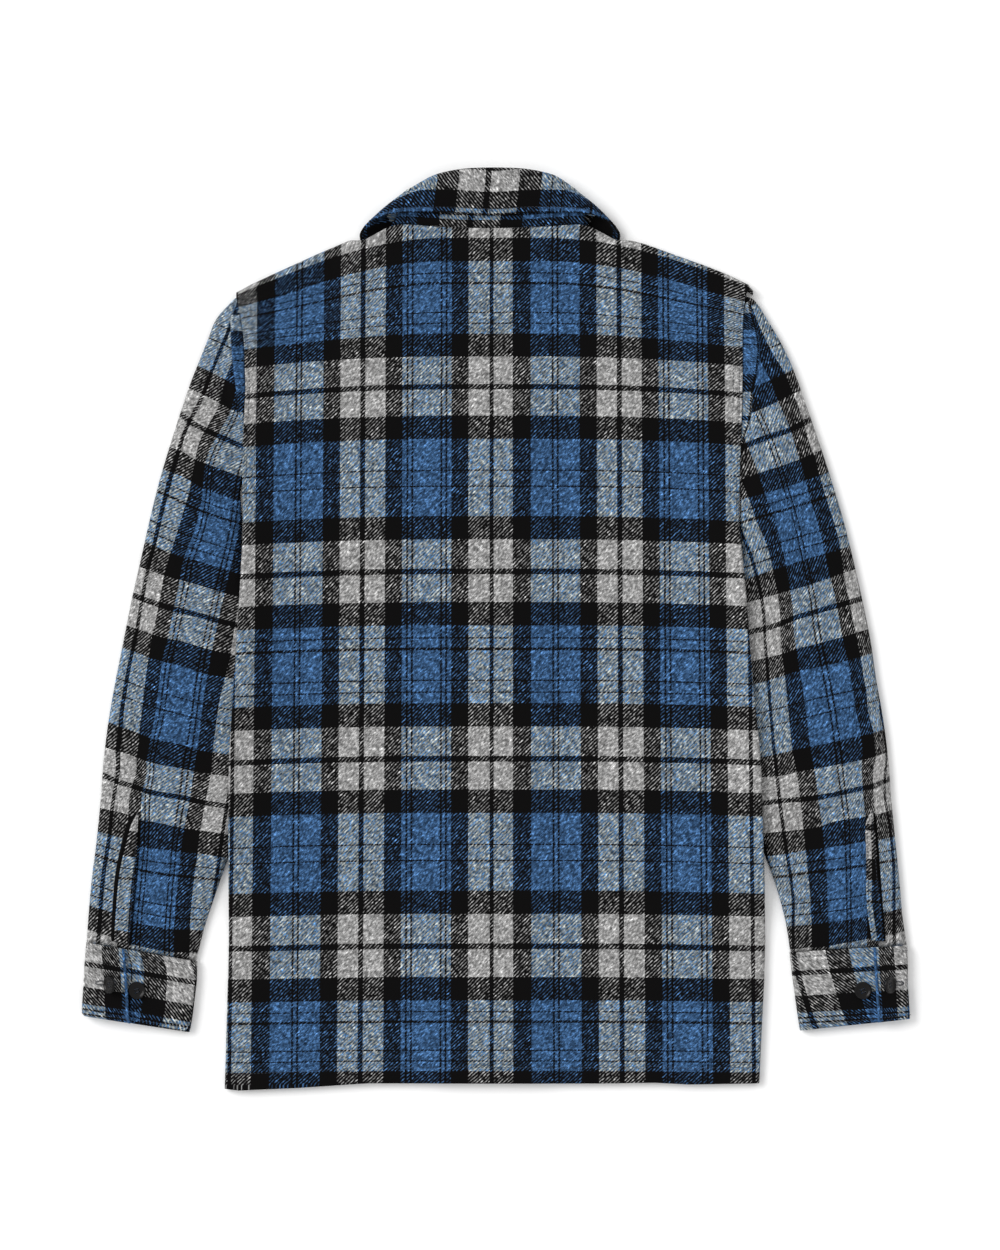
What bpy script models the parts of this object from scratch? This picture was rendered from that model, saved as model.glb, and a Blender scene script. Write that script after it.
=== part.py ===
"""Wool shirt jacket laid flat, face down: back panel up, sleeves down beside the body.

Frame: metres, +X to the right and +Y towards the collar as seen from above, +Z up.
The origin lies under the middle of the garment, on the surface it rests on.
Sizes below are in millimetres. Every cloth piece is an open surface, worked out from
its sections, with a Solidify modifier for the cloth's thickness.
"""
import math

import bmesh
import bpy
import numpy as np

MM = 0.001
COLLECTION = "shirt_jacket"

# Cloth
CLOTH = 2.0
CUFF_CLOTH = 3.0
STRIP_CLOTH = 1.6
SEAM = 0.3

# Heights of the layers above the surface
BODY_TOP = 7.8
BODY_RISE = 2.8
TURNED_COLLAR_LIFT = 3.4
OVERLAP_LIFT = 2.5
SLEEVE_TOP = 8.6
SLEEVE_SWELL = 1.8
HEAD_BOTTOM, HEAD_TOP = 2.3, 7.5
SLEEVE_LIFT = 9.8
BODY_OVER_SLEEVE = 9.0
LIFT_REACH = 60.0
FOLD_RADIUS = 3.6
FOLD_TURN = 0.82
OPEN_STEP = 1.1
OPEN_GAP = 1.9

CENTRE = -5.0
OVERLAP_HALF = 18.0
NECK_SIDE = 92.0

# Where a change of height or of seam starts and ends. A level is a y, an inset is a
# distance in from the side edge, and a reach is a distance from the centre line.
LIFT_LEVELS_ABOVE = (122.0, 62.0)
LIFT_LEVELS_BELOW = (-285.0, -205.0)
PLACKET_REACH = (70.0, 34.0)
BUTTON_STAND_REACH = (42.0, 24.0)
OVERLAP_REACH = (38.0, 21.0)
COLLAR_REACH = (146.0, 124.0)
COLLAR_LEVELS = (212.0, 250.0)
ARMHOLE_INSET = (44.0, 10.0)
ARMHOLE_LEVELS = (100.0, 132.0)
ARMHOLE_DROP = 0.72
NECK_OPENING_REACH = (128.0, 114.0)
UNDERARM_LEVELS_BELOW = (88.0, 96.0)
UNDERARM_LEVELS_ABOVE = (160.0, 140.0)
SIDE_SEAM_LEVELS = (122.0, 96.0)
SHOULDER_REACH = (NECK_SIDE + 1.0, NECK_SIDE + 9.0)
SLEEVE_HEAD_OUTSET = (16.0, 3.0)
SLEEVE_HEAD_LEVELS = (112.0, 130.0)
SWELL_LEVELS_BELOW = (-150.0, -60.0)
SWELL_LEVELS_ABOVE = (240.0, 150.0)

# Body outline: a row for each level, y, left edge x, right edge x
BODY_SIDES = (
    (-409.0, -243.5, 237.2),
    (-379.0, -242.6, 238.6),
    (-316.0, -240.8, 241.7),
    (-280.0, -239.9, 242.6),
    (-226.0, -239.9, 241.7),
    (-132.0, -239.9, 239.0),
    (-105.0, -239.0, 237.2),
    (-35.0, -234.5, 230.0),
    (33.0, -230.0, 224.6),
    (90.0, -226.7, 218.7),
    (140.0, -227.6, 219.6),
    (174.0, -226.7, 221.0),
    (215.0, -224.6, 222.0),
    (256.0, -226.0, 222.0),
    (282.0, -229.0, 223.0),
    (296.0, -232.5, 225.5),
    (304.0, -233.0, 231.5),
)
# Lower edge of the back: x, y
BACK_HEM = (
    (-243.0, -413.4),
    (-231.0, -414.9),
    (-178.0, -412.6),
    (-115.0, -408.4),
    (94.0, -408.6),
    (144.0, -407.9),
    (174.0, -409.5),
    (237.7, -408.4),
)
# Upper edge of the back, from shoulder tip to shoulder tip past the neck: x, y
BACK_TOP = (
    (-233.0, 302.5),
    (-220.0, 309.6),
    (-201.0, 318.6),
    (-161.5, 336.6),
    (-140.0, 345.6),
    (-131.0, 349.4),
    (-118.0, 349.4),
    (-110.0, 354.0),
    (-97.0, 361.0),
    (-86.0, 363.8),
    (-70.0, 363.0),
    (-50.0, 361.0),
    (-5.0, 360.0),
    (40.0, 361.0),
    (60.0, 362.8),
    (76.0, 363.6),
    (87.0, 361.0),
    (100.0, 354.0),
    (108.0, 349.4),
    (122.0, 349.4),
    (136.0, 345.6),
    (160.7, 336.6),
    (186.0, 327.6),
    (209.0, 318.6),
    (227.3, 309.6),
    (231.5, 304.0),
)
# Levels of the panels' rows, measured at the body's sides
LEVELS = (-409.0, -345.0, -285.0, -245.0, -205.0, -115.0, -30.0, 35.0, 62.0)
LEVELS += (82.0, 96.0, 109.0, 122.0, 160.0, 210.0, 256.0, 290.0)
# Distances of the panels' columns from the shoulder tip, out to the neck, at the top
SHOULDER_COLUMNS = (20.0, 50.0, 82.0, 95.0, 108.0, 122.0)
# The other columns, as shares of the panel's width
BACK_COLUMNS = (0.293, 0.31, 0.4, 0.5, 0.6, 0.69, 0.707)
FRONT_LEFT_COLUMNS = (0.553, 0.565, 0.614, 0.744, 0.79, 0.84, 0.92)
FRONT_RIGHT_COLUMNS = (0.566, 0.578, 0.627, 0.753, 0.79, 0.83, 0.87)
FOLD_STEPS = 3
# Front neckline, one side: distance from the centre, y
FRONT_NECK = (
    (0.0, 302.0),
    (18.0, 302.8),
    (45.0, 309.0),
    (77.0, 326.0),
    (88.0, 343.0),
    (90.5, 352.0),
    (NECK_SIDE, 360.0),
)

# Sleeve sections from the armhole to the cuff: outer edge x, y, inner edge x, y
SLEEVE_LEFT = (
    (-224.5, 301.5, -221.0, 145.0),
    (-233.0, 298.0, -223.6, 141.3),
    (-240.8, 290.7, -225.5, 137.7),
    (-251.5, 278.1, -227.6, 132.3),
    (-258.8, 260.1, -228.9, 126.9),
    (-266.0, 242.1, -229.3, 121.5),
    (-273.2, 224.1, -229.2, 116.1),
    (-279.5, 206.1, -228.6, 108.9),
    (-291.2, 170.1, -227.9, 94.5),
    (-302.0, 134.1, -228.0, 72.9),
    (-311.0, 98.1, -223.7, 44.1),
    (-319.1, 62.1, -219.2, 15.3),
    (-327.2, 26.1, -221.0, -17.1),
    (-334.4, -9.9, -222.8, -49.5),
    (-341.6, -45.9, -224.6, -80.1),
    (-347.9, -81.9, -226.4, -110.7),
    (-352.4, -117.9, -227.3, -141.3),
    (-355.1, -153.9, -230.0, -171.9),
    (-358.7, -189.9, -239.0, -201.6),
    (-363.2, -225.9, -250.4, -234.0),
    (-366.0, -257.4, -261.4, -267.3),
    (-367.7, -281.2, -269.4, -298.3),
)
SLEEVE_RIGHT = (
    (217.0, 300.6, 212.0, 145.0),
    (229.0, 297.9, 213.8, 141.3),
    (235.4, 292.5, 215.6, 136.8),
    (244.4, 278.1, 217.8, 130.5),
    (255.2, 260.1, 219.4, 125.1),
    (264.2, 242.1, 220.4, 119.7),
    (271.4, 224.1, 220.4, 113.4),
    (277.7, 206.1, 220.0, 105.3),
    (290.3, 170.1, 219.6, 90.9),
    (302.0, 134.1, 220.1, 69.3),
    (312.8, 98.1, 215.6, 40.5),
    (321.8, 62.1, 213.8, 11.7),
    (329.9, 26.1, 216.5, -20.7),
    (337.1, -9.9, 219.2, -53.1),
    (342.5, -45.9, 221.9, -83.7),
    (348.8, -81.9, 224.6, -114.3),
    (353.3, -117.9, 226.4, -143.1),
    (356.0, -153.9, 230.9, -171.9),
    (359.6, -189.9, 241.7, -201.6),
    (363.2, -225.9, 252.0, -230.4),
    (365.9, -257.4, 260.6, -262.0),
    (369.9, -283.9, 265.2, -290.2),
)
OUTER_APEX = 0.5
INNER_APEX = 0.36
EDGE_BEND = 2.4
BEND_ANGLES = (90.0, 62.0, 34.0, 10.0)
SLEEVE_TOP_SHARES = (0.3, 0.5, 0.7)
SLEEVE_BOTTOM_SHARES = (0.66, 0.34)

# Sleeve opening strips: x, y of the free edge, x, y of the sewn edge, cuff end last
STRIP_LEFT = (
    (-322.6, -166.5, -320.8, -167.2),
    (-328.0, -178.0, -321.4, -178.6),
    (-333.5, -199.0, -322.2, -200.0),
    (-338.2, -222.0, -323.3, -223.4),
    (-341.2, -255.6, -326.2, -257.0),
    (-342.6, -280.6, -328.1, -283.4),
)
STRIP_RIGHT = (
    (337.2, -165.0, 339.2, -164.8),
    (332.6, -176.0, 340.4, -176.2),
    (332.9, -199.0, 342.4, -199.4),
    (333.1, -222.0, 344.2, -222.4),
    (333.5, -247.0, 346.2, -247.4),
    (338.2, -280.0, 349.4, -280.6),
)

# Cuffs: outer fold x, y, inner fold x, y, and the flap end as a share of the width
CUFF_LEFT = (
    (-367.9, -281.6, -268.2, -299.0, 0.345),
    (-369.4, -298.0, -268.4, -314.0, 0.370),
    (-370.6, -320.0, -270.6, -334.0, 0.400),
    (-371.9, -343.0, -273.4, -354.0, 0.430),
    (-369.9, -347.8, -275.2, -362.4, 0.440),
)
CUFF_RIGHT = (
    (370.2, -284.3, 264.4, -290.6, 0.290),
    (370.7, -300.0, 266.0, -306.0, 0.288),
    (371.0, -320.0, 268.6, -326.0, 0.286),
    (371.4, -343.0, 272.0, -350.0, 0.283),
    (370.8, -350.6, 273.8, -361.0, 0.282),
)
UNDER_END_BACK = 29.0
CUFF_BEND_STEPS = 6
CUFF_BOTTOM_SHARES = (0.33, 0.66)
CUFF_FLAP_TOP = SLEEVE_TOP + SEAM + CUFF_CLOTH

# Half of the collar, back centre first. Offsets are from the centre line.
# neck seam x, y, z, top of the stand x, y, z, leaf edge x, y, z, width of the roll
COLLAR = (
    (0.0, 360.6, 9.6, 0.0, 408.7, 13.0, 0.0, 372.3, 14.8, 7.0),
    (30.0, 361.2, 9.6, 27.0, 407.6, 13.0, 36.0, 374.0, 14.9, 7.0),
    (58.0, 363.1, 9.6, 50.0, 403.0, 12.7, 66.0, 374.3, 15.6, 7.0),
    (76.0, 364.6, 9.6, 63.0, 396.2, 12.5, 90.0, 372.6, 16.2, 6.6),
    (85.0, 364.8, 9.2, 70.0, 390.4, 11.2, 107.0, 366.0, 13.6, 6.2),
    (87.8, 362.4, 7.4, 72.6, 388.0, 9.2, 115.5, 356.6, 7.8, 6.0),
    (87.2, 356.0, 5.7, 71.8, 386.2, 7.0, 116.5, 350.2, 3.2, 5.4),
    (85.6, 345.5, 4.4, 66.0, 377.0, 6.0, 114.0, 341.0, 1.4, 4.8),
    (75.5, 328.5, 4.4, 54.0, 354.0, 5.9, 98.0, 316.0, 1.15, 4.7),
    (44.5, 311.4, 4.4, 34.0, 338.0, 5.9, 74.0, 294.0, 1.15, 4.7),
    (22.0, 305.4, 4.4, 16.0, 330.5, 5.9, 52.0, 284.0, 1.15, 4.7),
    (3.0, 303.6, 4.4, 3.0, 327.0, 5.9, 34.0, 281.0, 1.15, 4.7),
)
COLLAR_STEPS = 2
LEAF_BULGE = 1.8
LEAF_BULGE_HEIGHTS = (1.0, 12.0)
LEAF_START = 0.8
COLLAR_TOP_SHIFT = 3.6
COLLAR_TOP_LEVELS = (378.0, 404.0)
STAND_BOW = 0.5
STAND_SHARES = (0.0, 0.34, 0.67, 1.0)
ROLL_ANGLES = (0.0, 45.0, 90.0, 135.0)
LEAF_SHARES = (0.1, 0.4, 0.7, 1.0)

# Buttons
BUTTON_RADIUS = 8.0
BUTTON_THICK = 3.0
BUTTON_SIDES = 14
BUTTON_TILT = math.radians(52.0)
SPARE_BUTTONS = (("left", -322.2, -324.9), ("right", 330.2, -324.9))
FASTENED_BUTTONS = (("left", -346.6, -319.5, -1.0), ("right", 354.2, -319.5, 1.0))
FRONT_BUTTON_COUNT = 6
FRONT_BUTTON_TOP = 262.0
FRONT_BUTTON_PITCH = 98.0
FRONT_BUTTON_GAP = 0.3


def ease(value, start, end):
    """Smooth step from 0 at start to 1 at end, whichever is larger."""
    share = np.clip((value - start) / (end - start), 0.0, 1.0)
    return share * share * (3.0 - 2.0 * share)


def look_up(rows, value, key=0, column=1):
    """Value of one column of a table where its key column has the given value."""
    return float(np.interp(value, [row[key] for row in rows], [row[column] for row in rows]))


def left_x(y):
    return look_up(BODY_SIDES, y, column=1)


def right_x(y):
    return look_up(BODY_SIDES, y, column=2)


def side_distance(x, y):
    """How far a point lies inside the nearer side edge of the body."""
    return max(0.0, min(x - left_x(y), right_x(y) - x))


def side_lift(x, y):
    """Share of the lift that the sleeves give the body's sides, below the underarm."""
    stretch = ease(y, *LIFT_LEVELS_ABOVE) * ease(y, *LIFT_LEVELS_BELOW)
    reach = max(0.0, 1.0 - side_distance(x, y) / LIFT_REACH)
    return float(stretch * reach ** 1.5)


def placket_share(x):
    return float(ease(abs(x - CENTRE), *PLACKET_REACH))


def collar_share(x, y):
    return float(ease(abs(x - CENTRE), *COLLAR_REACH) * ease(y, *COLLAR_LEVELS))


def armhole_share(x, y):
    return float(ease(side_distance(x, y), *ARMHOLE_INSET) * ease(y, *ARMHOLE_LEVELS))


def front_bottom(x, y):
    """Height of the fronts' outer face, which is the one that faces the surface."""
    over_buttons = float(ease(abs(x - CENTRE), *BUTTON_STAND_REACH))
    lift = TURNED_COLLAR_LIFT * max(over_buttons, collar_share(x, y))
    return max(lift, SLEEVE_LIFT * side_lift(x, y))


def right_front_bottom(x, y):
    """The right front also passes over the left one at the centre."""
    return front_bottom(x, y) + OVERLAP_LIFT * float(ease(x - CENTRE, *OVERLAP_REACH))


def back_top(x, y):
    """Height of the back panel's outer face."""
    level = (1.0 - ARMHOLE_DROP * armhole_share(x, y)) * (1.0 - placket_share(x))
    level *= 1.0 - collar_share(x, y)
    return BODY_TOP + BODY_RISE * (1.0 - level) + BODY_OVER_SLEEVE * side_lift(x, y)


def side_seam_height(x, y):
    return 0.5 * (back_top(x, y) + front_bottom(x, y))


def seam_gap(x, y):
    """Gap between back and front at their seam, wider where the seam opens out."""
    beside_neck = float(ease(abs(x - CENTRE), *NECK_OPENING_REACH))
    underarm = float(ease(y, *UNDERARM_LEVELS_BELOW) * ease(y, *UNDERARM_LEVELS_ABOVE))
    return SEAM + OPEN_GAP * max(beside_neck, underarm)


def side_closed(y):
    """1 where the side is a folded seam, 0 along the armhole."""
    return float(ease(y, *SIDE_SEAM_LEVELS))


def shoulder_closed(x):
    """1 along the shoulders, 0 along the neck."""
    return float(ease(abs(x - CENTRE), *SHOULDER_REACH))


def hem_y(x):
    return look_up(BACK_HEM, x)


def back_top_y(x):
    return look_up(BACK_TOP, x)


def front_top_y(x):
    """Shoulder line, and the front neckline between the shoulders."""
    if abs(x - CENTRE) < NECK_SIDE:
        return look_up(FRONT_NECK, abs(x - CENTRE))
    return back_top_y(x)


def fold_steps():
    """Insets from an edge, where it is a fold and where it is open, and the turn there."""
    steps = [(0.0, 0.0, 1.0)]
    for step in range(FOLD_STEPS + 1):
        angle = 0.5 * math.pi * (1.0 - step / FOLD_STEPS)
        turn = FOLD_TURN * (1.0 - math.cos(angle))
        folded = FOLD_RADIUS * (1.0 - math.sin(angle))
        steps.append((folded, OPEN_STEP * (step + 1), turn))
    return steps


def panel_columns(shares, closed_right):
    """Share of the width, insets and turn of each column of a panel."""
    columns = [(0.0, folded, flat, turn) for folded, flat, turn in fold_steps()]
    columns += [(share, 0.0, 0.0, 0.0) for share in shares]
    if closed_right:
        steps = reversed(fold_steps())
        columns += [(1.0, -folded, -flat, turn) for folded, flat, turn in steps]
    else:
        columns.append((1.0, 0.0, 0.0, 0.0))
    return columns


def panel_rows():
    """Share of the height, insets and turn of each row, hem first."""
    lowest, highest = BODY_SIDES[0][0], BODY_SIDES[-1][0]
    rows = [((level - lowest) / (highest - lowest), 0.0, 0.0, 0.0) for level in LEVELS]
    steps = reversed(fold_steps())
    return rows + [(1.0, folded, flat, turn) for folded, flat, turn in steps]


def panel_grid(columns, rows, x_from, x_to, edges, height, seam_side):
    """Points of a body panel. x_from and x_to give its sides at a level."""
    hem, top = edges
    tip = BODY_SIDES[-1][0]
    grid = []
    for share_y, folded_y, flat_y, turn_y in rows:
        level = BODY_SIDES[0][0] + share_y * (tip - BODY_SIDES[0][0])
        closed_x = side_closed(level)
        line = []
        for share_x, folded_x, flat_x, turn_x in columns:
            x = x_from(level) + share_x * (x_to(level) - x_from(level))
            x += flat_x + (folded_x - flat_x) * closed_x
            closed_y = shoulder_closed(x)
            inset_y = flat_y + (folded_y - flat_y) * closed_y
            y = hem(x) + share_y * (top(x) - hem(x)) - inset_y
            turned = 1.0 - (1.0 - closed_x * turn_x) * (1.0 - closed_y * turn_y)
            seam = side_seam_height(x, y) + seam_side * 0.5 * seam_gap(x, y)
            line.append((x, y, height(x, y) * (1.0 - turned) + seam * turned))
        grid.append(line)
    return grid


def sleeve_point(x, y, side, share):
    """Heights of a sleeve's lower and upper face. share runs across the sleeve."""
    edge = left_x(y) if side < 0 else right_x(y)
    outside = (edge - x) if side < 0 else (x - edge)
    squeeze = float(ease(outside, *SLEEVE_HEAD_OUTSET) * ease(y, *SLEEVE_HEAD_LEVELS))
    swell = SLEEVE_SWELL * (4.0 * share * (1.0 - share)) ** 2
    swell *= float(ease(y, *SWELL_LEVELS_BELOW) * ease(y, *SWELL_LEVELS_ABOVE))
    upper = SLEEVE_TOP + swell
    return HEAD_BOTTOM * squeeze, upper + (HEAD_TOP - upper) * squeeze


def bend_width(rise):
    """Width of a fold's bend of a given height, never bent tighter than the cloth can."""
    return max(rise * rise / EDGE_BEND, rise)


def sleeve_ring(row, side):
    """One section: along the top from the outer fold, then back along the bottom."""
    outer = np.array(row[:2])
    inner = np.array(row[2:])
    width = float(np.linalg.norm(inner - outer))
    along = (inner - outer) / width
    ring = []

    def add(distance, drop, upper_face, apex):
        x, y = outer + along * distance
        lower, upper = sleeve_point(x, y, side, distance / width)
        middle = lower + apex * (upper - lower)
        face = upper if upper_face else lower
        ring.append((x, y, middle + (face - middle) * drop))

    def rises(point, apex):
        lower, upper = sleeve_point(point[0], point[1], side, 0.0)
        return (upper - lower) * (1.0 - apex), (upper - lower) * apex

    outer_up, outer_down = rises(outer, OUTER_APEX)
    inner_up, inner_down = rises(inner, INNER_APEX)
    for angle in BEND_ANGLES:
        bend = 1.0 - math.sin(math.radians(angle))
        drop = math.cos(math.radians(angle))
        add(bend_width(outer_up) * bend, drop, True, OUTER_APEX)
    for share in SLEEVE_TOP_SHARES:
        add(width * share, 1.0, True, OUTER_APEX)
    for angle in reversed(BEND_ANGLES):
        bend = 1.0 - math.sin(math.radians(angle))
        drop = math.cos(math.radians(angle))
        add(width - bend_width(inner_up) * bend, drop, True, INNER_APEX)
    for angle in BEND_ANGLES[1:]:
        bend = 1.0 - math.sin(math.radians(angle))
        drop = math.cos(math.radians(angle))
        add(width - bend_width(inner_down) * bend, drop, False, INNER_APEX)
    for share in SLEEVE_BOTTOM_SHARES:
        add(width * share, 1.0, False, OUTER_APEX)
    for angle in reversed(BEND_ANGLES[1:]):
        bend = 1.0 - math.sin(math.radians(angle))
        drop = math.cos(math.radians(angle))
        add(bend_width(outer_down) * bend, drop, False, OUTER_APEX)
    return ring


def cuff_section(row):
    """One section of a cuff, from the flap's end round the arm to the end under it."""
    outer = np.array(row[0:2])
    inner = np.array(row[2:4])
    width = float(np.linalg.norm(inner - outer))
    along = (inner - outer) / width
    flap = row[4] * width
    path = []
    half_flap = 0.5 * CUFF_FLAP_TOP
    half_under = 0.5 * SLEEVE_TOP

    def add(distance, z):
        x, y = outer + along * distance
        path.append((x, y, z))

    add(flap, CUFF_FLAP_TOP)
    add(0.5 * (flap + half_flap), CUFF_FLAP_TOP)
    for step in range(CUFF_BEND_STEPS + 1):
        angle = math.pi * step / CUFF_BEND_STEPS
        add(half_flap * (1.0 - math.sin(angle)), half_flap * (1.0 + math.cos(angle)))
    for share in CUFF_BOTTOM_SHARES:
        add(share * width, 0.0)
    for step in range(CUFF_BEND_STEPS + 1):
        angle = math.pi * step / CUFF_BEND_STEPS
        add(width - half_under * (1.0 - math.sin(angle)), half_under * (1.0 - math.cos(angle)))
    add(0.5 * (width + flap), SLEEVE_TOP)
    add(flap, SLEEVE_TOP)
    add(flap - UNDER_END_BACK, SLEEVE_TOP)
    return path


def spline(rows, steps):
    """Smooth curve through rows of values, with the given steps between two rows."""
    values = np.array(rows, dtype=float)
    padded = np.vstack((2.0 * values[0] - values[1], values, 2.0 * values[-1] - values[-2]))
    points = []
    for index in range(len(values) - 1):
        before, start, end, after = padded[index:index + 4]
        for step in range(steps):
            t = step / steps
            tangent_in = 0.5 * (end - before)
            tangent_out = 0.5 * (after - start)
            points.append(
                (2.0 * t ** 3 - 3.0 * t ** 2 + 1.0) * start
                + (t ** 3 - 2.0 * t ** 2 + t) * tangent_in
                + (3.0 * t ** 2 - 2.0 * t ** 3) * end
                + (t ** 3 - t ** 2) * tangent_out
            )
    points.append(values[-1])
    return points


def collar_rows():
    """Rows of the whole collar, left end to right end, smoothed."""
    rows = []
    for sign, half in ((-1.0, reversed(COLLAR[1:])), (1.0, COLLAR)):
        for row in half:
            placed = list(row)
            for column in (0, 3, 6):
                placed[column] = CENTRE + sign * row[column]
                placed[column] += COLLAR_TOP_SHIFT * float(ease(row[column + 1], *COLLAR_TOP_LEVELS))
            rows.append(placed)
    return spline(rows, COLLAR_STEPS)


def unit(vector):
    return vector / float(np.linalg.norm(vector))


def collar_sections():
    """Sections of the stand and of the leaf, which lies on the stand's outer side."""
    rows = collar_rows()
    stand, leaf = [], []
    for index, row in enumerate(rows):
        before, after = rows[max(0, index - 1)], rows[min(len(rows) - 1, index + 1)]
        neck, top, edge, roll = row[0:3], row[3:6], row[6:9], row[9]
        rise = unit(top - neck)
        along = unit(after[3:6] - before[3:6])
        normal = unit(np.cross(along, rise))
        beyond = np.cross(normal, along)
        bows = [STAND_BOW * math.sin(math.pi * share) for share in STAND_SHARES]
        stand.append([
            tuple(neck + (top - neck) * share + normal * bow)
            for share, bow in zip(STAND_SHARES, bows)
        ])
        seam = top + beyond * 2.0 * SEAM
        start = seam + beyond * LEAF_START
        centre = start + normal * 0.5 * roll
        section = [tuple(seam)]
        for angle in ROLL_ANGLES:
            turn = math.radians(angle)
            offset = beyond * math.sin(turn) - normal * math.cos(turn)
            section.append(tuple(centre + offset * 0.5 * roll))
        outer = start + normal * roll
        bulge = LEAF_BULGE * float(ease(edge[2], *LEAF_BULGE_HEIGHTS))
        for share in LEAF_SHARES:
            bow = bulge * math.sin(math.pi * share)
            section.append(tuple(outer + (edge - outer) * share + normal * bow))
        leaf.append(section)
    return stand, leaf


def strip_grid(rows):
    """A strip that lies on the sleeve, from its free edge to its sewn edge."""
    height = SLEEVE_TOP + SEAM + STRIP_CLOTH
    grid = []
    for free_x, free_y, sewn_x, sewn_y in rows:
        middle = (0.5 * (free_x + sewn_x), 0.5 * (free_y + sewn_y), height)
        grid.append([(free_x, free_y, height), middle, (sewn_x, sewn_y, height)])
    return grid


def material(name, colour, roughness):
    result = bpy.data.materials.new(name)
    result.use_nodes = True
    shader = result.node_tree.nodes["Principled BSDF"]
    shader.inputs["Base Color"].default_value = (*colour, 1.0)
    shader.inputs["Roughness"].default_value = roughness
    shader.inputs["Metallic"].default_value = 0.0
    return result


def cloth(name, grid, collection, colour, thickness=CLOTH, ring=False, centred=False):
    """Open surface over a grid of points, its outer face out, with Solidify."""
    mesh = bpy.data.meshes.new(name)
    rows, columns = len(grid), len(grid[0])
    points = [tuple(value * MM for value in point) for line in grid for point in line]
    faces = []
    for row in range(rows - 1):
        for column in range(columns if ring else columns - 1):
            following = (column + 1) % columns
            faces.append((row * columns + column, row * columns + following,
                          (row + 1) * columns + following, (row + 1) * columns + column))
    mesh.from_pydata(points, [], faces)
    mesh.update()
    result = bpy.data.objects.new(name, mesh)
    collection.objects.link(result)
    mesh.materials.append(colour)
    mesh.shade_smooth()
    wall = result.modifiers.new("Cloth", "SOLIDIFY")
    wall.thickness = thickness * MM
    wall.offset = 0.0 if centred else -1.0
    return result


def flip(grid):
    """The same surface facing the other way."""
    return [list(reversed(line)) for line in grid]


def top_width():
    return BODY_SIDES[-1][2] - BODY_SIDES[-1][1]


def make_back(collection, colour):
    outer = [distance / top_width() for distance in SHOULDER_COLUMNS]
    shares = outer + list(BACK_COLUMNS) + [1.0 - share for share in reversed(outer)]
    columns = panel_columns(shares, True)
    edges = (hem_y, back_top_y)
    grid = panel_grid(columns, panel_rows(), left_x, right_x, edges, back_top, 1.0)
    return cloth("back_panel", grid, collection, colour)


def make_fronts(collection, colour):
    edges = (hem_y, front_top_y)

    def centre_left(_level):
        return CENTRE + OVERLAP_HALF

    def centre_right(_level):
        return CENTRE - OVERLAP_HALF

    width = centre_left(0.0) - BODY_SIDES[-1][1]
    shares = [distance / width for distance in SHOULDER_COLUMNS]
    columns = panel_columns(shares + list(FRONT_LEFT_COLUMNS), False)
    left = panel_grid(columns, panel_rows(), left_x, centre_left, edges, front_bottom, -1.0)
    cloth("front_left", flip(left), collection, colour)
    width = BODY_SIDES[-1][2] - centre_right(0.0)
    shares = [distance / width for distance in SHOULDER_COLUMNS]
    columns = panel_columns(shares + list(FRONT_RIGHT_COLUMNS), False)
    columns = [(share, -folded, -flat, turn) for share, folded, flat, turn in columns]
    right = panel_grid(
        columns, panel_rows(), right_x, centre_right, edges, right_front_bottom, -1.0
    )
    cloth("front_right", right, collection, colour)


def make_sleeves(collection, colour):
    for side, rows, strip in ((-1, SLEEVE_LEFT, STRIP_LEFT), (1, SLEEVE_RIGHT, STRIP_RIGHT)):
        name = "left" if side < 0 else "right"
        grid = [sleeve_ring(row, side) for row in rows]
        grid = flip(grid) if side < 0 else grid
        cloth("sleeve_" + name, grid, collection, colour, ring=True)
        lying = strip_grid(strip)
        lying = flip(lying)
        cloth("sleeve_strip_" + name, lying, collection, colour, thickness=STRIP_CLOTH)


def make_cuffs(collection, colour):
    for name, rows in (("left", CUFF_LEFT), ("right", CUFF_RIGHT)):
        grid = [cuff_section(row) for row in rows]
        grid = grid if name == "left" else flip(grid)
        cloth("cuff_" + name, grid, collection, colour, thickness=CUFF_CLOTH)


def make_collar(collection, colour):
    stand, leaf = collar_sections()
    cloth("collar_stand", stand, collection, colour, centred=True)
    cloth("collar_leaf", leaf, collection, colour, centred=True)


def make_button(name, collection, colour, place, tilt=0.0):
    """Turned disc with a raised rim round a shallow dish; place is its middle in mm."""
    half = 0.5 * BUTTON_THICK
    profile = (
        (BUTTON_RADIUS - 1.0, -half),
        (BUTTON_RADIUS, -0.4 * half),
        (BUTTON_RADIUS, 0.4 * half),
        (BUTTON_RADIUS - 0.8, half),
        (BUTTON_RADIUS - 2.2, half),
        (BUTTON_RADIUS - 3.2, 0.4 * half),
    )
    shape = bmesh.new()
    rings = []
    for radius, height in profile:
        ring = []
        for step in range(BUTTON_SIDES):
            turn = 2.0 * math.pi * step / BUTTON_SIDES
            place_on_ring = (radius * math.cos(turn), radius * math.sin(turn), height)
            ring.append(shape.verts.new([value * MM for value in place_on_ring]))
        rings.append(ring)
    for lower, upper in zip(rings, rings[1:]):
        for step in range(BUTTON_SIDES):
            following = (step + 1) % BUTTON_SIDES
            shape.faces.new((lower[step], lower[following], upper[following], upper[step]))
    shape.faces.new(list(reversed(rings[0])))
    shape.faces.new(rings[-1])
    mesh = bpy.data.meshes.new(name)
    shape.to_mesh(mesh)
    shape.free()
    mesh.materials.append(colour)
    mesh.shade_smooth()
    mesh.set_sharp_from_angle(angle=math.radians(50.0))
    result = bpy.data.objects.new(name, mesh)
    result.location = [value * MM for value in place]
    result.rotation_euler = (0.0, tilt, 0.0)
    collection.objects.link(result)
    return result


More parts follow.
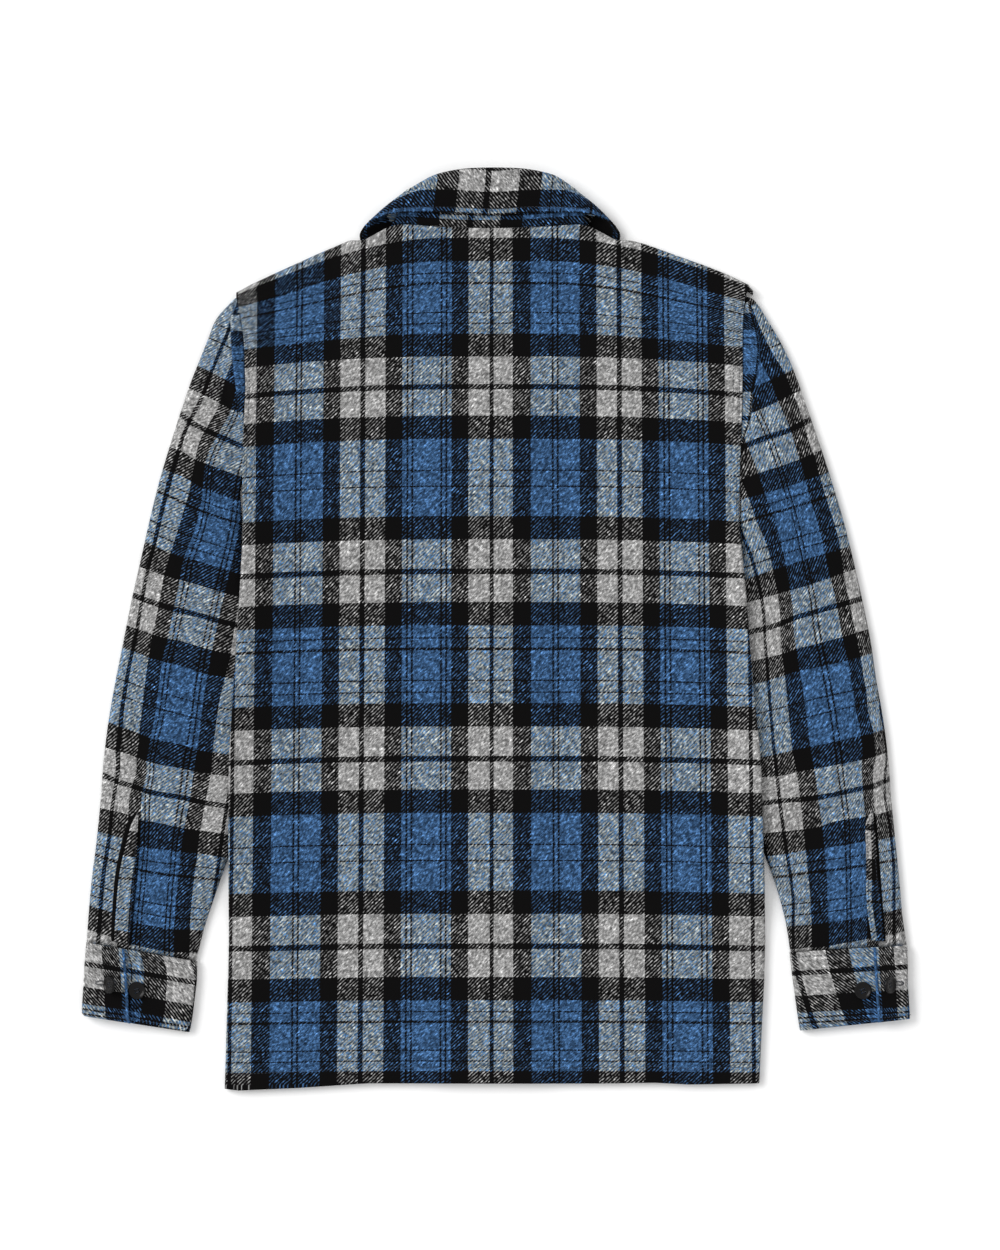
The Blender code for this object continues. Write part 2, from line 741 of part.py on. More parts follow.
def make_buttons(collection, colour):
    half = 0.5 * BUTTON_THICK
    for side, x, y in SPARE_BUTTONS:
        height = SLEEVE_TOP + SEAM + half
        make_button("cuff_button_spare_" + side, collection, colour, (x, y, height))
    lean = BUTTON_RADIUS * math.sin(BUTTON_TILT) + half * math.cos(BUTTON_TILT)
    for side, x, y, sign in FASTENED_BUTTONS:
        place = (x, y, CUFF_FLAP_TOP + SEAM + lean)
        make_button("cuff_button_" + side, collection, colour, place, sign * BUTTON_TILT)
    for index in range(FRONT_BUTTON_COUNT):
        y = FRONT_BUTTON_TOP - index * FRONT_BUTTON_PITCH
        place = (CENTRE, y, TURNED_COLLAR_LIFT - FRONT_BUTTON_GAP - half)
        name = "front_button_%d" % (index + 1)
        make_button(name, collection, colour, place, math.pi)


def main():
    for thing in list(bpy.data.objects):
        bpy.data.objects.remove(thing)
    collection = bpy.data.collections.new(COLLECTION)
    bpy.context.scene.collection.children.link(collection)
    wool = material("wool", (0.10, 0.14, 0.22), 0.95)
    collar_wool = material("collar_wool", (0.12, 0.15, 0.21), 0.95)
    cuff_wool = material("cuff_wool", (0.16, 0.17, 0.19), 0.95)
    horn = material("button", (0.03, 0.03, 0.035), 0.35)
    make_back(collection, wool)
    make_fronts(collection, wool)
    make_sleeves(collection, wool)
    make_cuffs(collection, cuff_wool)
    make_collar(collection, collar_wool)
    make_buttons(collection, horn)


main()
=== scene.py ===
"""Looks of a wool shirt jacket that lies face down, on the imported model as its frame.

Each cloth piece is rebuilt as a fine thin shell on its solid's form, with its creases,
stitching and plaid. Surfaces are worked out in millimetres and turned to metres when
their meshes are made. Maps are in millimetres of cloth, u across and v down the plaid.
"""
import math

import bmesh
import bpy
import numpy as np
from mathutils import Matrix, Vector


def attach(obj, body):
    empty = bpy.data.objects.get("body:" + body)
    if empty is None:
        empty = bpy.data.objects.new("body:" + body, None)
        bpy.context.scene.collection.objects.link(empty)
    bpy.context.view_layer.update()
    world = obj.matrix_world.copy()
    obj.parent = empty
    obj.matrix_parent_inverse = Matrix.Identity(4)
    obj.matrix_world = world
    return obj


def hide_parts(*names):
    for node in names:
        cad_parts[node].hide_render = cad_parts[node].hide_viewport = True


bl_info = {
    "name": "Plaid shirt jacket",
    "version": (1, 0, 0),
    "blender": (4, 5, 0),
    "location": "View3D > Sidebar > Jacket",
    "description": "Cloth, stitching and buttons of a plaid wool shirt jacket laid flat",
    "category": "Object",
}

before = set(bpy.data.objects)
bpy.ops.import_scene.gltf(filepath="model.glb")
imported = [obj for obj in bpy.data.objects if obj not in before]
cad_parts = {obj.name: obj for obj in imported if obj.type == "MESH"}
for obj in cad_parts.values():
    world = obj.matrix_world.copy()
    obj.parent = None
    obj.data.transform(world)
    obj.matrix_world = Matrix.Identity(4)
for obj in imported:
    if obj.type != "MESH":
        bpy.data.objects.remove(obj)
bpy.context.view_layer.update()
MM = 0.001

# Cloth, seams and stitches
CLOTH = 2.0
CUFF_CLOTH = 3.0
STRIP_CLOTH = 1.6
FOLD_CLOTH = 0.8
SEAM = 0.3

# Twill lines and the flecks of the yarns
TWILL_PITCH = 3.4
TWILL_SHAKE = 0.5
TWILL_BREAK = 1.5
TWILL_EDGE = 0.22
DARK_COVER = 0.24
EVEN_TWILL = 0.45
BLEND_EDGE = 0.22
BLEND_TINT = (1.05, 1.12, 1.05)
BLACK_DEPTH, BLUE_DEPTH = 1.3, 0.2
EDGE_JITTER = 1.6
RAGGED_SCALE = 1000.0
FLECK_SCALE = 400.0
FLECK_DRAW = 0.5
BLOT_SCALE = 160.0
BLOT_DEPTH = 0.2

# Heights of the layers
BODY_TOP = 7.8
BODY_RISE = 2.8
TURNED_COLLAR_LIFT = 3.4
OVERLAP_LIFT = 2.5
SLEEVE_TOP = 8.6
SLEEVE_SWELL = 1.8
HEAD_BOTTOM, HEAD_TOP = 2.3, 7.5
SLEEVE_LIFT = 9.8
BODY_OVER_SLEEVE = 9.0
LIFT_REACH = 60.0
FOLD_RADIUS = 3.6
FOLD_TURN = 0.82
OPEN_REACH = 4.4
OPEN_MARGIN = 1.5
FINE_SPACING = 1.5
OPEN_GAP = 1.9
CENTRE = -5.0
OVERLAP_HALF = 18.0
NECK_SIDE = 92.0

# Where a change of height or of seam starts and ends: levels are y, insets are measured
# in from the side edge, and reaches from the centre line
LIFT_LEVELS_ABOVE = (122.0, 62.0)
LIFT_LEVELS_BELOW = (-285.0, -205.0)
PLACKET_REACH = (70.0, 34.0)
BUTTON_STAND_REACH = (42.0, 24.0)
OVERLAP_REACH = (38.0, 21.0)
COLLAR_REACH = (146.0, 124.0)
COLLAR_LEVELS = (212.0, 250.0)
ARMHOLE_INSET = (44.0, 10.0)
ARMHOLE_LEVELS = (100.0, 132.0)
ARMHOLE_DROP = 0.72
NECK_OPENING_REACH = (128.0, 114.0)
UNDERARM_LEVELS_BELOW = (88.0, 96.0)
UNDERARM_LEVELS_ABOVE = (160.0, 140.0)
SIDE_SEAM_LEVELS = (122.0, 96.0)
SHOULDER_REACH = (NECK_SIDE + 1.0, NECK_SIDE + 9.0)
SLEEVE_HEAD_OUTSET = (16.0, 3.0)
SLEEVE_HEAD_LEVELS = (112.0, 130.0)
SWELL_LEVELS_BELOW = (-150.0, -60.0)
SWELL_LEVELS_ABOVE = (240.0, 150.0)

# Rough width of the panels, how far in from the back's sides and hem the points lie
# close, and how much further apart the points of the fronts are
BACK_WIDTH = 470.0
FRONT_WIDTH = 250.0
BACK_FINE = (15.0, 13.0)
HEM_FINE = 4.0
FRONT_COARSENESS = 1.5

# Body outline: y, left edge x, right edge x
BODY_SIDES = (
    (-409.0, -243.5, 237.2),
    (-379.0, -242.6, 238.6),
    (-316.0, -240.8, 241.7),
    (-280.0, -239.9, 242.6),
    (-226.0, -239.9, 241.7),
    (-132.0, -239.9, 239.0),
    (-105.0, -239.0, 237.2),
    (-35.0, -234.5, 230.0),
    (33.0, -230.0, 224.6),
    (90.0, -226.7, 218.7),
    (140.0, -227.6, 219.6),
    (174.0, -226.7, 221.0),
    (215.0, -224.6, 222.0),
    (256.0, -226.0, 222.0),
    (282.0, -229.0, 223.0),
    (296.0, -232.5, 225.5),
    (304.0, -233.0, 231.5),
)
# Lower edge of the back: x, y
BACK_HEM = (
    (-243.0, -413.4),
    (-231.0, -414.9),
    (-178.0, -412.6),
    (-115.0, -408.4),
    (94.0, -408.6),
    (144.0, -407.9),
    (174.0, -409.5),
    (237.7, -408.4),
)
# Upper edge of the back, from shoulder tip to shoulder tip: x, y
BACK_TOP = (
    (-233.0, 302.5),
    (-220.0, 309.6),
    (-201.0, 318.6),
    (-161.5, 336.6),
    (-140.0, 345.6),
    (-131.0, 349.4),
    (-118.0, 349.4),
    (-110.0, 354.0),
    (-97.0, 361.0),
    (-86.0, 363.8),
    (-70.0, 363.0),
    (-50.0, 361.0),
    (-5.0, 360.0),
    (40.0, 361.0),
    (60.0, 362.8),
    (76.0, 363.6),
    (87.0, 361.0),
    (100.0, 354.0),
    (108.0, 349.4),
    (122.0, 349.4),
    (136.0, 345.6),
    (160.7, 336.6),
    (186.0, 327.6),
    (209.0, 318.6),
    (227.3, 309.6),
    (231.5, 304.0),
)
# Front neckline, one side: distance from the centre, y
FRONT_NECK = (
    (0.0, 302.0),
    (18.0, 302.8),
    (45.0, 309.0),
    (77.0, 326.0),
    (88.0, 343.0),
    (90.5, 352.0),
    (NECK_SIDE, 360.0),
)

# Sleeve sections from the armhole to the cuff: outer edge x, y, inner edge x, y
SLEEVES = {
    "left": (
        (-224.5, 301.5, -221.0, 145.0),
        (-233.0, 298.0, -223.6, 141.3),
        (-240.8, 290.7, -225.5, 137.7),
        (-251.5, 278.1, -227.6, 132.3),
        (-258.8, 260.1, -228.9, 126.9),
        (-266.0, 242.1, -229.3, 121.5),
        (-273.2, 224.1, -229.2, 116.1),
        (-279.5, 206.1, -228.6, 108.9),
        (-291.2, 170.1, -227.9, 94.5),
        (-302.0, 134.1, -228.0, 72.9),
        (-311.0, 98.1, -223.7, 44.1),
        (-319.1, 62.1, -219.2, 15.3),
        (-327.2, 26.1, -221.0, -17.1),
        (-334.4, -9.9, -222.8, -49.5),
        (-341.6, -45.9, -224.6, -80.1),
        (-347.9, -81.9, -226.4, -110.7),
        (-352.4, -117.9, -227.3, -141.3),
        (-355.1, -153.9, -230.0, -171.9),
        (-358.7, -189.9, -239.0, -201.6),
        (-363.2, -225.9, -250.4, -234.0),
        (-366.0, -257.4, -261.4, -267.3),
        (-367.7, -281.2, -269.4, -298.3),
    ),
    "right": (
        (217.0, 300.6, 212.0, 145.0),
        (229.0, 297.9, 213.8, 141.3),
        (235.4, 292.5, 215.6, 136.8),
        (244.4, 278.1, 217.8, 130.5),
        (255.2, 260.1, 219.4, 125.1),
        (264.2, 242.1, 220.4, 119.7),
        (271.4, 224.1, 220.4, 113.4),
        (277.7, 206.1, 220.0, 105.3),
        (290.3, 170.1, 219.6, 90.9),
        (302.0, 134.1, 220.1, 69.3),
        (312.8, 98.1, 215.6, 40.5),
        (321.8, 62.1, 213.8, 11.7),
        (329.9, 26.1, 216.5, -20.7),
        (337.1, -9.9, 219.2, -53.1),
        (342.5, -45.9, 221.9, -83.7),
        (348.8, -81.9, 224.6, -114.3),
        (353.3, -117.9, 226.4, -143.1),
        (356.0, -153.9, 230.9, -171.9),
        (359.6, -189.9, 241.7, -201.6),
        (363.2, -225.9, 252.0, -230.4),
        (365.9, -257.4, 260.6, -262.0),
        (369.9, -283.9, 265.2, -290.2),
    ),
}
OUTER_APEX = 0.5
INNER_APEX = 0.36
EDGE_BEND = 2.4
# Points round each edge of a sleeve's section, and along its top and its bottom
EDGE_POINTS, TOP_POINTS, BOTTOM_POINTS = 8, 52, 14

# Sleeve opening strips: x, y of the free edge, x, y of the sewn edge, cuff end last
STRIPS = {
    "left": (
        (-322.6, -166.5, -320.8, -167.2),
        (-328.0, -178.0, -321.4, -178.6),
        (-333.5, -199.0, -322.2, -200.0),
        (-338.2, -222.0, -323.3, -223.4),
        (-341.2, -255.6, -326.2, -257.0),
        (-342.6, -280.6, -328.1, -283.4),
    ),
    "right": (
        (337.2, -165.0, 339.2, -164.8),
        (332.6, -176.0, 340.4, -176.2),
        (332.9, -199.0, 342.4, -199.4),
        (333.1, -222.0, 344.2, -222.4),
        (333.5, -247.0, 346.2, -247.4),
        (338.2, -280.0, 349.4, -280.6),
    ),
}

# Cuffs: outer fold x, y, inner fold x, y, and the flap end as a share of the width
CUFFS = {
    "left": (
        (-367.9, -281.6, -268.2, -299.0, 0.345),
        (-369.4, -298.0, -268.4, -314.0, 0.370),
        (-370.6, -320.0, -270.6, -334.0, 0.400),
        (-371.9, -343.0, -273.4, -354.0, 0.430),
        (-369.9, -347.8, -275.2, -362.4, 0.440),
    ),
    "right": (
        (370.2, -284.3, 264.4, -290.6, 0.290),
        (370.7, -300.0, 266.0, -306.0, 0.288),
        (371.0, -320.0, 268.6, -326.0, 0.286),
        (371.4, -343.0, 272.0, -350.0, 0.283),
        (370.8, -350.6, 273.8, -361.0, 0.282),
    ),
}
UNDER_END_BACK = 29.0
# The flap's rounded end: distance back from it, and how far the cloth has dropped
FLAP_END = ((0.0, 0.5), (0.5, 0.15), (1.2, 0.0))
FLAP_END_REACH = 2.4
CUFF_FLAP_TOP = SLEEVE_TOP + SEAM + CUFF_CLOTH
FLAP_CURL, FLAP_CURL_REACH = 1.3, 5.0
FLAP_EDGE_WIDTH, FLAP_EDGE_RISE, FLAP_EDGE_CLOTH = 2.6, 0.8, 0.5
FLAP_EDGE_OUT, FLAP_EDGE_ROUND = 0.1, 0.6
FLAP_EDGE_WARP, FLAP_EDGE_WEFT = (17.0, 33.0), 48.0

# Half of the collar, back centre first, offsets from the centre line: neck seam x, y, z,
# top of the stand x, y, z, leaf edge x, y, z, width of the roll
COLLAR = (
    (0.0, 360.6, 9.6, 0.0, 408.7, 13.0, 0.0, 372.3, 14.8, 7.0),
    (30.0, 361.2, 9.6, 27.0, 407.6, 13.0, 36.0, 374.0, 14.9, 7.0),
    (58.0, 363.1, 9.6, 50.0, 403.0, 12.7, 66.0, 374.3, 15.6, 7.0),
    (76.0, 364.6, 9.6, 63.0, 396.2, 12.5, 90.0, 372.6, 16.2, 6.6),
    (85.0, 364.8, 9.2, 70.0, 390.4, 11.2, 107.0, 366.0, 13.6, 6.2),
    (87.8, 362.4, 7.4, 72.6, 388.0, 9.2, 115.5, 356.6, 7.8, 6.0),
    (87.2, 356.0, 5.7, 71.8, 386.2, 7.0, 116.5, 350.2, 3.2, 5.4),
    (85.6, 345.5, 4.4, 66.0, 377.0, 6.0, 114.0, 341.0, 1.4, 4.8),
    (75.5, 328.5, 4.4, 54.0, 354.0, 5.9, 98.0, 316.0, 1.15, 4.7),
    (44.5, 311.4, 4.4, 34.0, 338.0, 5.9, 74.0, 294.0, 1.15, 4.7),
    (22.0, 305.4, 4.4, 16.0, 330.5, 5.9, 52.0, 284.0, 1.15, 4.7),
    (3.0, 303.6, 4.4, 3.0, 327.0, 5.9, 34.0, 281.0, 1.15, 4.7),
)
COLLAR_STEPS = 9
LEAF_BULGE = 1.8
LEAF_BULGE_HEIGHTS = (1.0, 12.0)
LEAF_START = 0.8
COLLAR_TOP_SHIFT = 3.6
COLLAR_TOP_LEVELS = (378.0, 404.0)
STAND_BOW = 0.5
# Points up the stand, round the roll and down the leaf, and how far the roll turns
STAND_POINTS, ROLL_POINTS, LEAF_POINTS = 10, 12, 20
ROLL_TURN = 165.0
LEAF_FIRST = 0.05

# Buttons
BUTTON_RADIUS = 8.0
BUTTON_THICK = 3.0
BUTTON_TILT = math.radians(52.0)
SPARE_BUTTONS = (("left", -322.2, -324.9), ("right", 330.2, -324.9))
FASTENED_BUTTONS = (("left", -346.6, -319.5, -1.0), ("right", 354.2, -319.5, 1.0))
FRONT_BUTTON_COUNT = 6
FRONT_BUTTON_TOP = 262.0
FRONT_BUTTON_PITCH = 98.0
FRONT_BUTTON_GAP = 0.3
BUTTON_SPIN = 0.3
HOLE_RADIUS = 1.0
HOLE_OFFSET = 1.45
# Section of a button: distance in from the rim, and height as a share of half its
# thickness, from the middle of the bottom to the middle of the top
BUTTON_PROFILE = (
    (BUTTON_RADIUS, -1.0), (2.0, -1.0), (0.7, -0.8), (0.1, -0.3), (0.0, 0.2), (0.3, 0.7),
    (0.9, 1.0), (1.7, 0.92), (2.5, 0.5), (3.4, 0.28), (BUTTON_RADIUS, 0.2),
)

# Plaid, in millimetres of cloth: yarn and width, with thin dark lines as black
WARP_SETT = (
    ("black", 15.6),
    ("blue", 19.3), ("black", 1.9), ("blue", 3.1), ("black", 1.9), ("blue", 18.8),
    ("black", 15.6),
    ("grey", 18.3), ("black", 3.7), ("grey", 18.2),
    ("black", 15.6),
    ("blue", 4.1), ("black", 1.8), ("blue", 2.9), ("black", 1.8), ("blue", 23.8),
    ("black", 1.8), ("blue", 2.9), ("black", 1.8), ("blue", 4.1),
    ("black", 15.6),
    ("grey", 18.3), ("black", 3.7), ("grey", 18.1),
)
WEFT_SETT = (
    ("black", 21.0),
    ("blue", 9.8), ("black", 1.9), ("blue", 8.0), ("black", 1.9), ("blue", 26.5),
    ("black", 1.9), ("blue", 8.2), ("black", 1.9), ("blue", 9.7),
    ("black", 21.0),
    ("grey", 25.8), ("black", 5.1), ("grey", 25.8),
    ("black", 21.0),
    ("blue", 26.5), ("black", 1.9), ("blue", 12.9), ("black", 1.9), ("blue", 26.6),
    ("black", 21.0),
    ("grey", 25.8), ("black", 5.1), ("grey", 25.8),
)
WARP_START = -217.1
WARP_SPREAD, WARP_SPREAD_MIDDLE = 0.022, 0.48
WARP_SPREAD_LEVELS = (251.0, -334.0)
# Where the plaid's rows lie down the middle of the back: y, v
BACK_ROWS = (
    (-408.6, 440.1),
    (-396.9, 427.5),
    (-378.0, 406.8),
    (-333.9, 358.2),
    (24.3, 0.0),
    (191.7, -168.4),
    (244.8, -225.1),
    (265.5, -246.1),
    (330.3, -315.8),
    (348.3, -333.9),
    (366.0, -351.0),
)
# How far the rows drop at the sides: y, drop
ROW_DROP = (
    (-409.0, 1.5),
    (24.0, 3.5),
    (190.0, 6.0),
    (245.0, 8.5),
    (270.0, 18.0),
    (300.0, 38.0),
    (350.0, 50.0),
)
ROW_DROP_RIGHT = 0.85
ROW_DROP_FROM, ROW_DROP_TO = 45.0, 208.0
ROW_DROP_MOST = 1.3

# Plaid lines on the sleeves, read on enlarged crops of the photo: place in the warp's or
# weft's sett, then points along the line as x, y in the photo's pixels
PIXEL = 0.9
PHOTO_MIDDLE = (495.5, 629.0)
LEFT_WARP_LINES = (
    (96.3, (
        (227, 335), (214, 366), (206, 387), (190, 420), (178, 453), (169.6, 479.5),
        (161.3, 512.7), (154.7, 542.5), (148, 571), (141.4, 604), (137, 632), (128.5, 670),
        (122, 710), (117.5, 750), (115, 790), (109.5, 835), (104, 870), (101.5, 895),
        (99, 932),
    )),
    (116.4, (
        (225, 378), (220, 402), (208, 425), (200, 440), (195, 462), (190, 488), (184, 508),
        (178, 528), (170, 553), (163, 577), (158.5, 603), (152, 633), (148, 660), (144, 690),
        (141, 718), (139, 745), (137, 770),
    )),
    (132.0, (
        (236, 388), (231, 410), (205, 463), (203, 485), (200, 508), (194, 532), (184, 557),
        (179, 585), (173, 612), (168, 638), (162, 660), (157, 700), (150, 738), (146, 760),
        (142, 790), (141, 815), (139.5, 850), (137, 880), (133, 920), (131, 943),
    )),
    (177.0, (
        (230, 571), (225, 592), (218, 622), (212, 650), (207, 678), (203, 705), (199, 740),
        (194, 770), (191, 795), (186, 820), (181, 850), (177, 890), (174, 930), (174, 950),
    )),
    (192.6, (
        (231, 655), (226, 675), (219, 705), (213.5, 745), (212, 770), (207, 795), (201, 828),
        (198, 855), (195, 875), (192, 905), (190, 935), (190, 950),
    )),
)
LEFT_WEFT_LINES = (
    (-77.7, ((200, 367), (213, 373), (226, 380))),
    (-56.7, ((190, 389), (203, 395), (216, 401), (231, 409.5))),
    (-28.4, ((183, 414), (191, 421.5), (205, 429), (217, 434.5), (230, 440), (238, 444))),
    (0.0, ((170, 447), (184, 452), (196, 460), (213, 466), (228, 472), (240, 476))),
    (21.0, (
        (164, 470), (176, 474), (191, 481), (203, 489), (213, 492), (225, 497), (240, 501),
    )),
    (90.8, (
        (146, 542), (158, 547), (170, 553), (184, 557), (200, 561), (216, 566.5),
        (230, 570.5),
    )),
    (111.8, (
        (143, 568), (152, 571), (165, 576), (181, 580), (197, 584.5), (212, 589),
        (222, 592), (238, 597),
    )),
    (140.2, (
        (136, 595), (144, 598.5), (160, 604), (175, 608.5), (190, 612), (205, 616),
        (220, 620.5), (236, 624),
    )),
    (168.5, (
        (129, 626), (138, 629), (152, 634), (166, 638), (182, 641), (198, 646), (212, 650),
        (230, 654),
    )),
    (189.5, (
        (123, 648), (134, 651), (149, 657.5), (163, 661.5), (178, 665), (194, 670),
        (206, 674), (226, 677),
    )),
    (217.0, ((160, 692), (180, 696.5), (198, 702))),
    (259.3, (
        (112, 723), (122, 727), (140, 733), (150, 738), (165, 741), (182, 744),
        (197, 749.5), (214, 752),
    )),
    (280.3, (
        (107, 748), (122, 752), (137, 757), (147, 761), (162, 765), (180, 768), (194, 771),
        (212, 774), (228, 776),
    )),
    (308.7, (
        (106, 775), (118, 781), (133, 785), (150, 791), (165, 794), (180, 796), (197, 800),
        (212, 803), (225, 805),
    )),
    (337.0, (
        (102, 808), (112, 810), (125, 813), (141, 820), (155, 821.5), (170, 825),
        (186, 828), (200, 830), (216, 832),
    )),
    (358.0, (
        (101, 832), (112, 835), (124, 838), (140, 847), (160, 848.5), (180, 852),
        (198, 853), (215, 856),
    )),
    (427.8, (
        (92, 906), (101, 908), (110, 911), (134, 921), (145, 924), (158, 926), (175, 929),
        (190, 929),
    )),
    (448.8, (
        (90, 930), (100, 932.5), (110, 936), (133, 944), (145, 947), (160, 950), (174, 952),
        (190, 952),
    )),
)
RIGHT_WARP_LINES = (
    (-20.0, (
        (765, 655), (768, 690), (771, 730), (774, 760), (778, 798), (782, 830), (786, 855),
        (790, 880), (792, 900),
    )),
    (0.0, (
        (741, 480), (748, 498), (757, 524), (768, 550), (773, 573), (777, 592), (780, 620),
        (781, 650), (784, 673), (787, 705), (790, 735), (792, 751), (796, 771), (800, 800),
        (803, 830), (805, 850), (808, 880), (810, 910), (811, 946),
    )),
    (15.6, (
        (758, 475), (763, 493), (773, 517), (781, 548), (785, 566), (789, 590), (792, 625),
        (795, 650), (798, 668), (803, 700), (807, 730), (809, 748), (813, 768), (817, 800),
        (821, 826), (823, 847), (826, 880), (828, 925), (828, 945),
    )),
    (60.6, (
        (770, 381), (777, 402), (788, 425), (799, 460), (804, 478), (811, 505), (820, 535),
        (824, 555), (829, 575), (836, 605), (842, 640), (847, 660), (851, 685), (856, 715),
        (860, 738), (861, 760), (863, 800), (865, 816),
    )),
    (76.2, (
        (765, 340), (776, 360), (784, 373), (793, 394), (801, 415), (809, 445), (813, 454),
        (819, 475), (828, 505), (837, 535), (840, 549), (843, 572), (849, 600), (855, 632),
        (860, 655), (866, 690), (873, 730), (876, 755), (873, 790),
    )),
    (96.3, (
        (861, 592), (871, 640), (876, 672), (881, 717), (885, 745), (884.5, 770),
        (883.5, 795), (887, 815), (890, 835), (893, 870), (893, 900), (893, 930),
    )),
)
RIGHT_WEFT_LINES = (
    (-77.7, ((755, 386), (771, 380), (786, 373))),
    (-56.7, ((752, 413), (762, 409), (777, 402), (793, 394))),
    (-28.4, ((744, 445.5), (765, 437), (785, 431), (800, 424), (808, 420))),
    (0.0, ((741, 479.5), (757, 474), (783, 465.5), (798, 460), (813, 453.5))),
    (21.0, ((747, 498), (763, 494), (780, 489), (795, 484), (804, 481), (819, 476))),
    (90.8, (
        (755, 576), (771, 570), (785, 566), (805, 559), (824, 554), (840, 549), (850, 546),
    )),
    (111.8, (
        (757, 600), (777, 594), (792, 590), (810, 585), (829, 578), (844, 573), (855, 569),
    )),
    (140.2, (
        (755, 630), (770, 626.5), (782, 622), (797, 616), (815, 611), (832, 606),
        (848, 602), (860, 598),
    )),
    (168.5, (
        (760, 659), (781, 654), (795, 649), (812, 645), (828, 640.5), (842, 637),
        (856, 632.5), (868, 629),
    )),
    (189.5, (
        (766, 681), (784, 675), (798, 671), (815, 667.5), (832, 664), (847, 660.5),
        (861, 656.5), (872, 653),
    )),
    (231.8, ((808, 716), (825, 712), (842, 708), (875, 700))),
    (259.3, (
        (776, 754), (792, 750), (809, 746.5), (827, 743), (845, 739), (860, 735.5),
        (874, 732.5), (884, 729),
    )),
    (280.3, (
        (780, 776), (796, 772), (813, 769), (828, 766), (845, 763), (861, 760), (876, 756),
        (888, 752),
    )),
    (308.7, (
        (770, 801), (790, 799), (815, 797), (832, 794), (850, 790), (863, 787), (875, 785),
        (888, 778),
    )),
    (337.0, (
        (785, 831), (803, 829), (821, 826), (830, 822), (845, 819), (860, 817), (876, 814),
        (893, 809),
    )),
    (358.0, (
        (790, 853), (805, 850), (823, 848), (835, 846), (850, 844), (864, 841),
        (879, 839.5), (895, 836),
    )),
    (427.8, (
        (797, 925), (811, 924), (828, 922), (855, 918), (868, 915), (884, 912), (900, 908),
    )),
    (448.8, (
        (800, 948), (811, 947), (828, 946), (840, 943), (855, 941), (868, 938), (886, 935),
        (903, 931),
    )),
)
SLEEVE_LINES = {
    "left": (LEFT_WARP_LINES, LEFT_WEFT_LINES),
    "right": (RIGHT_WARP_LINES, RIGHT_WEFT_LINES),
}
# How far the plaid may leave the readings, and the distance that the fit counts as one
LINE_SOFTNESS = 0.004
FIT_SCALE = 100.0

# Folds of sleeve cloth beside the armholes: y, outer x, inner x, rise, v of the plaid
ARMHOLE_FOLDS = {
    "left": (
        (286.0, -236.0, -229.5, 0.0, -30.0),
        (279.0, -237.8, -229.0, 1.4, -20.0),
        (268.0, -237.4, -227.0, 2.1, 0.0),
        (254.0, -236.8, -226.0, 2.3, 21.0),
        (233.0, -235.0, -225.5, 2.3, 56.0),
        (213.0, -232.5, -225.0, 2.1, 90.8),
        (195.0, -231.4, -226.5, 1.4, 111.8),
        (184.0, -230.0, -227.0, 0.0, 124.0),
    ),
    "right": (
        (297.0, 228.0, 225.5, 0.0, -20.0),
        (284.0, 230.0, 223.0, 1.3, 0.0),
        (269.0, 234.6, 222.0, 2.2, 21.0),
        (251.0, 236.8, 221.8, 2.5, 50.0),
        (229.0, 234.4, 221.6, 2.4, 90.8),
        (213.0, 231.0, 221.6, 2.1, 111.8),
        (190.0, 229.0, 221.2, 1.7, 140.2),
        (170.0, 223.0, 220.6, 0.6, 165.0),
        (162.0, 221.5, 220.4, 0.0, 175.0),
    ),
}
ARMHOLE_FOLD_U = {"left": 148.0, "right": 40.0}
# Section of such a fold: place across it, and height as a share of its rise
ARMHOLE_FOLD_SECTION = (
    (-0.9, 0.0), (0.0, 0.35), (0.25, 0.7), (0.8, 0.92), (1.8, 1.0), (3.4, 1.0), (5.2, 0.9),
    (7.0, 0.78), (9.0, 0.62),
)
ARMHOLE_FOLD_SINK = 0.3
ARMHOLE_FOLD_STRETCH = 1.1

# Sleeve strips: u at the free edge, and how far their plaid sits below the sleeve's
STRIP_PLAID = {"left": (200.0, 10.0), "right": (-5.0, 38.0)}
STRIP_ARCH = 0.5
# Painted shade in the slit beside each strip: width of the dark sheet, and its cloth
SLIT_SHADE_WIDTH = {"left": 4.8, "right": 2.6}
SLIT_SHADE_CLOTH = 0.4
STRIP_POINTS = 8
# Painted shade in each strip's slit: a dark sheet where there is only shadow. Share of its
# width at its point, share of its length where it widens, how it narrows again, its height
# at the strip and how far it falls away from it
SLIT_SHADE_POINT, SLIT_SHADE_OPEN, SLIT_SHADE_TAPER = 0.35, 0.2, 0.35
SLIT_SHADE_RISE, SLIT_SHADE_FALL = 0.5, 0.45
# Its plaid stays where black yarn crosses black, to paint the slit's shade: middle and half
# span, start and pitch
SLIT_SHADE_WARP, SLIT_SHADE_WEFT = (3.0, 2.0), (10.5, 0.02)

# Rows of stitches on the back: distances in from the armhole edges and from the hem
ARMHOLE_ROWS = {"left": (3.6, 10.6), "right": (2.6, 8.2)}
HEM_ROW = 14.6
STITCH_DENT = 0.4
STITCH_DENT_WIDTH = 1.5
ROW_PUFF, ROW_PUFF_WIDTH = 0.9, 2.4
ARMHOLE_ROW_START, ARMHOLE_ROW_END = (92.0, 100.0), (303.0, 298.0)
CUFF_SEAM_DIP = 1.9
CUFF_SEAM_REACH = (7.0, 1.0)
# Where the paths of those rows run: first, last and step, as levels or as x
ARMHOLE_ROW_PATH = (97.0, 301.0, 2.0)
HEM_ROW_PATH = (-236.0, 232.0, 3.0)

# Other rows of stitches: distances from the edges of the pieces, and the part of the
# edge's length that the row follows
CUFF_ROWS = (4.6, -3.6)
FLAP_END_ROW = 2.2
FLAP_END_ROW_PART = (0.1, 0.9)
LEAF_ROW = -5.5
LEAF_ROW_PART = (0.16, 0.84)
STRIP_ROWS = (1.9, -1.6)
# Buttonholes: middle x, y of each, half length and half width
BUTTONHOLES = ((-349.8, -317.9), (357.2, -318.2))
BUTTONHOLE_HALF = (9.4, 1.8)
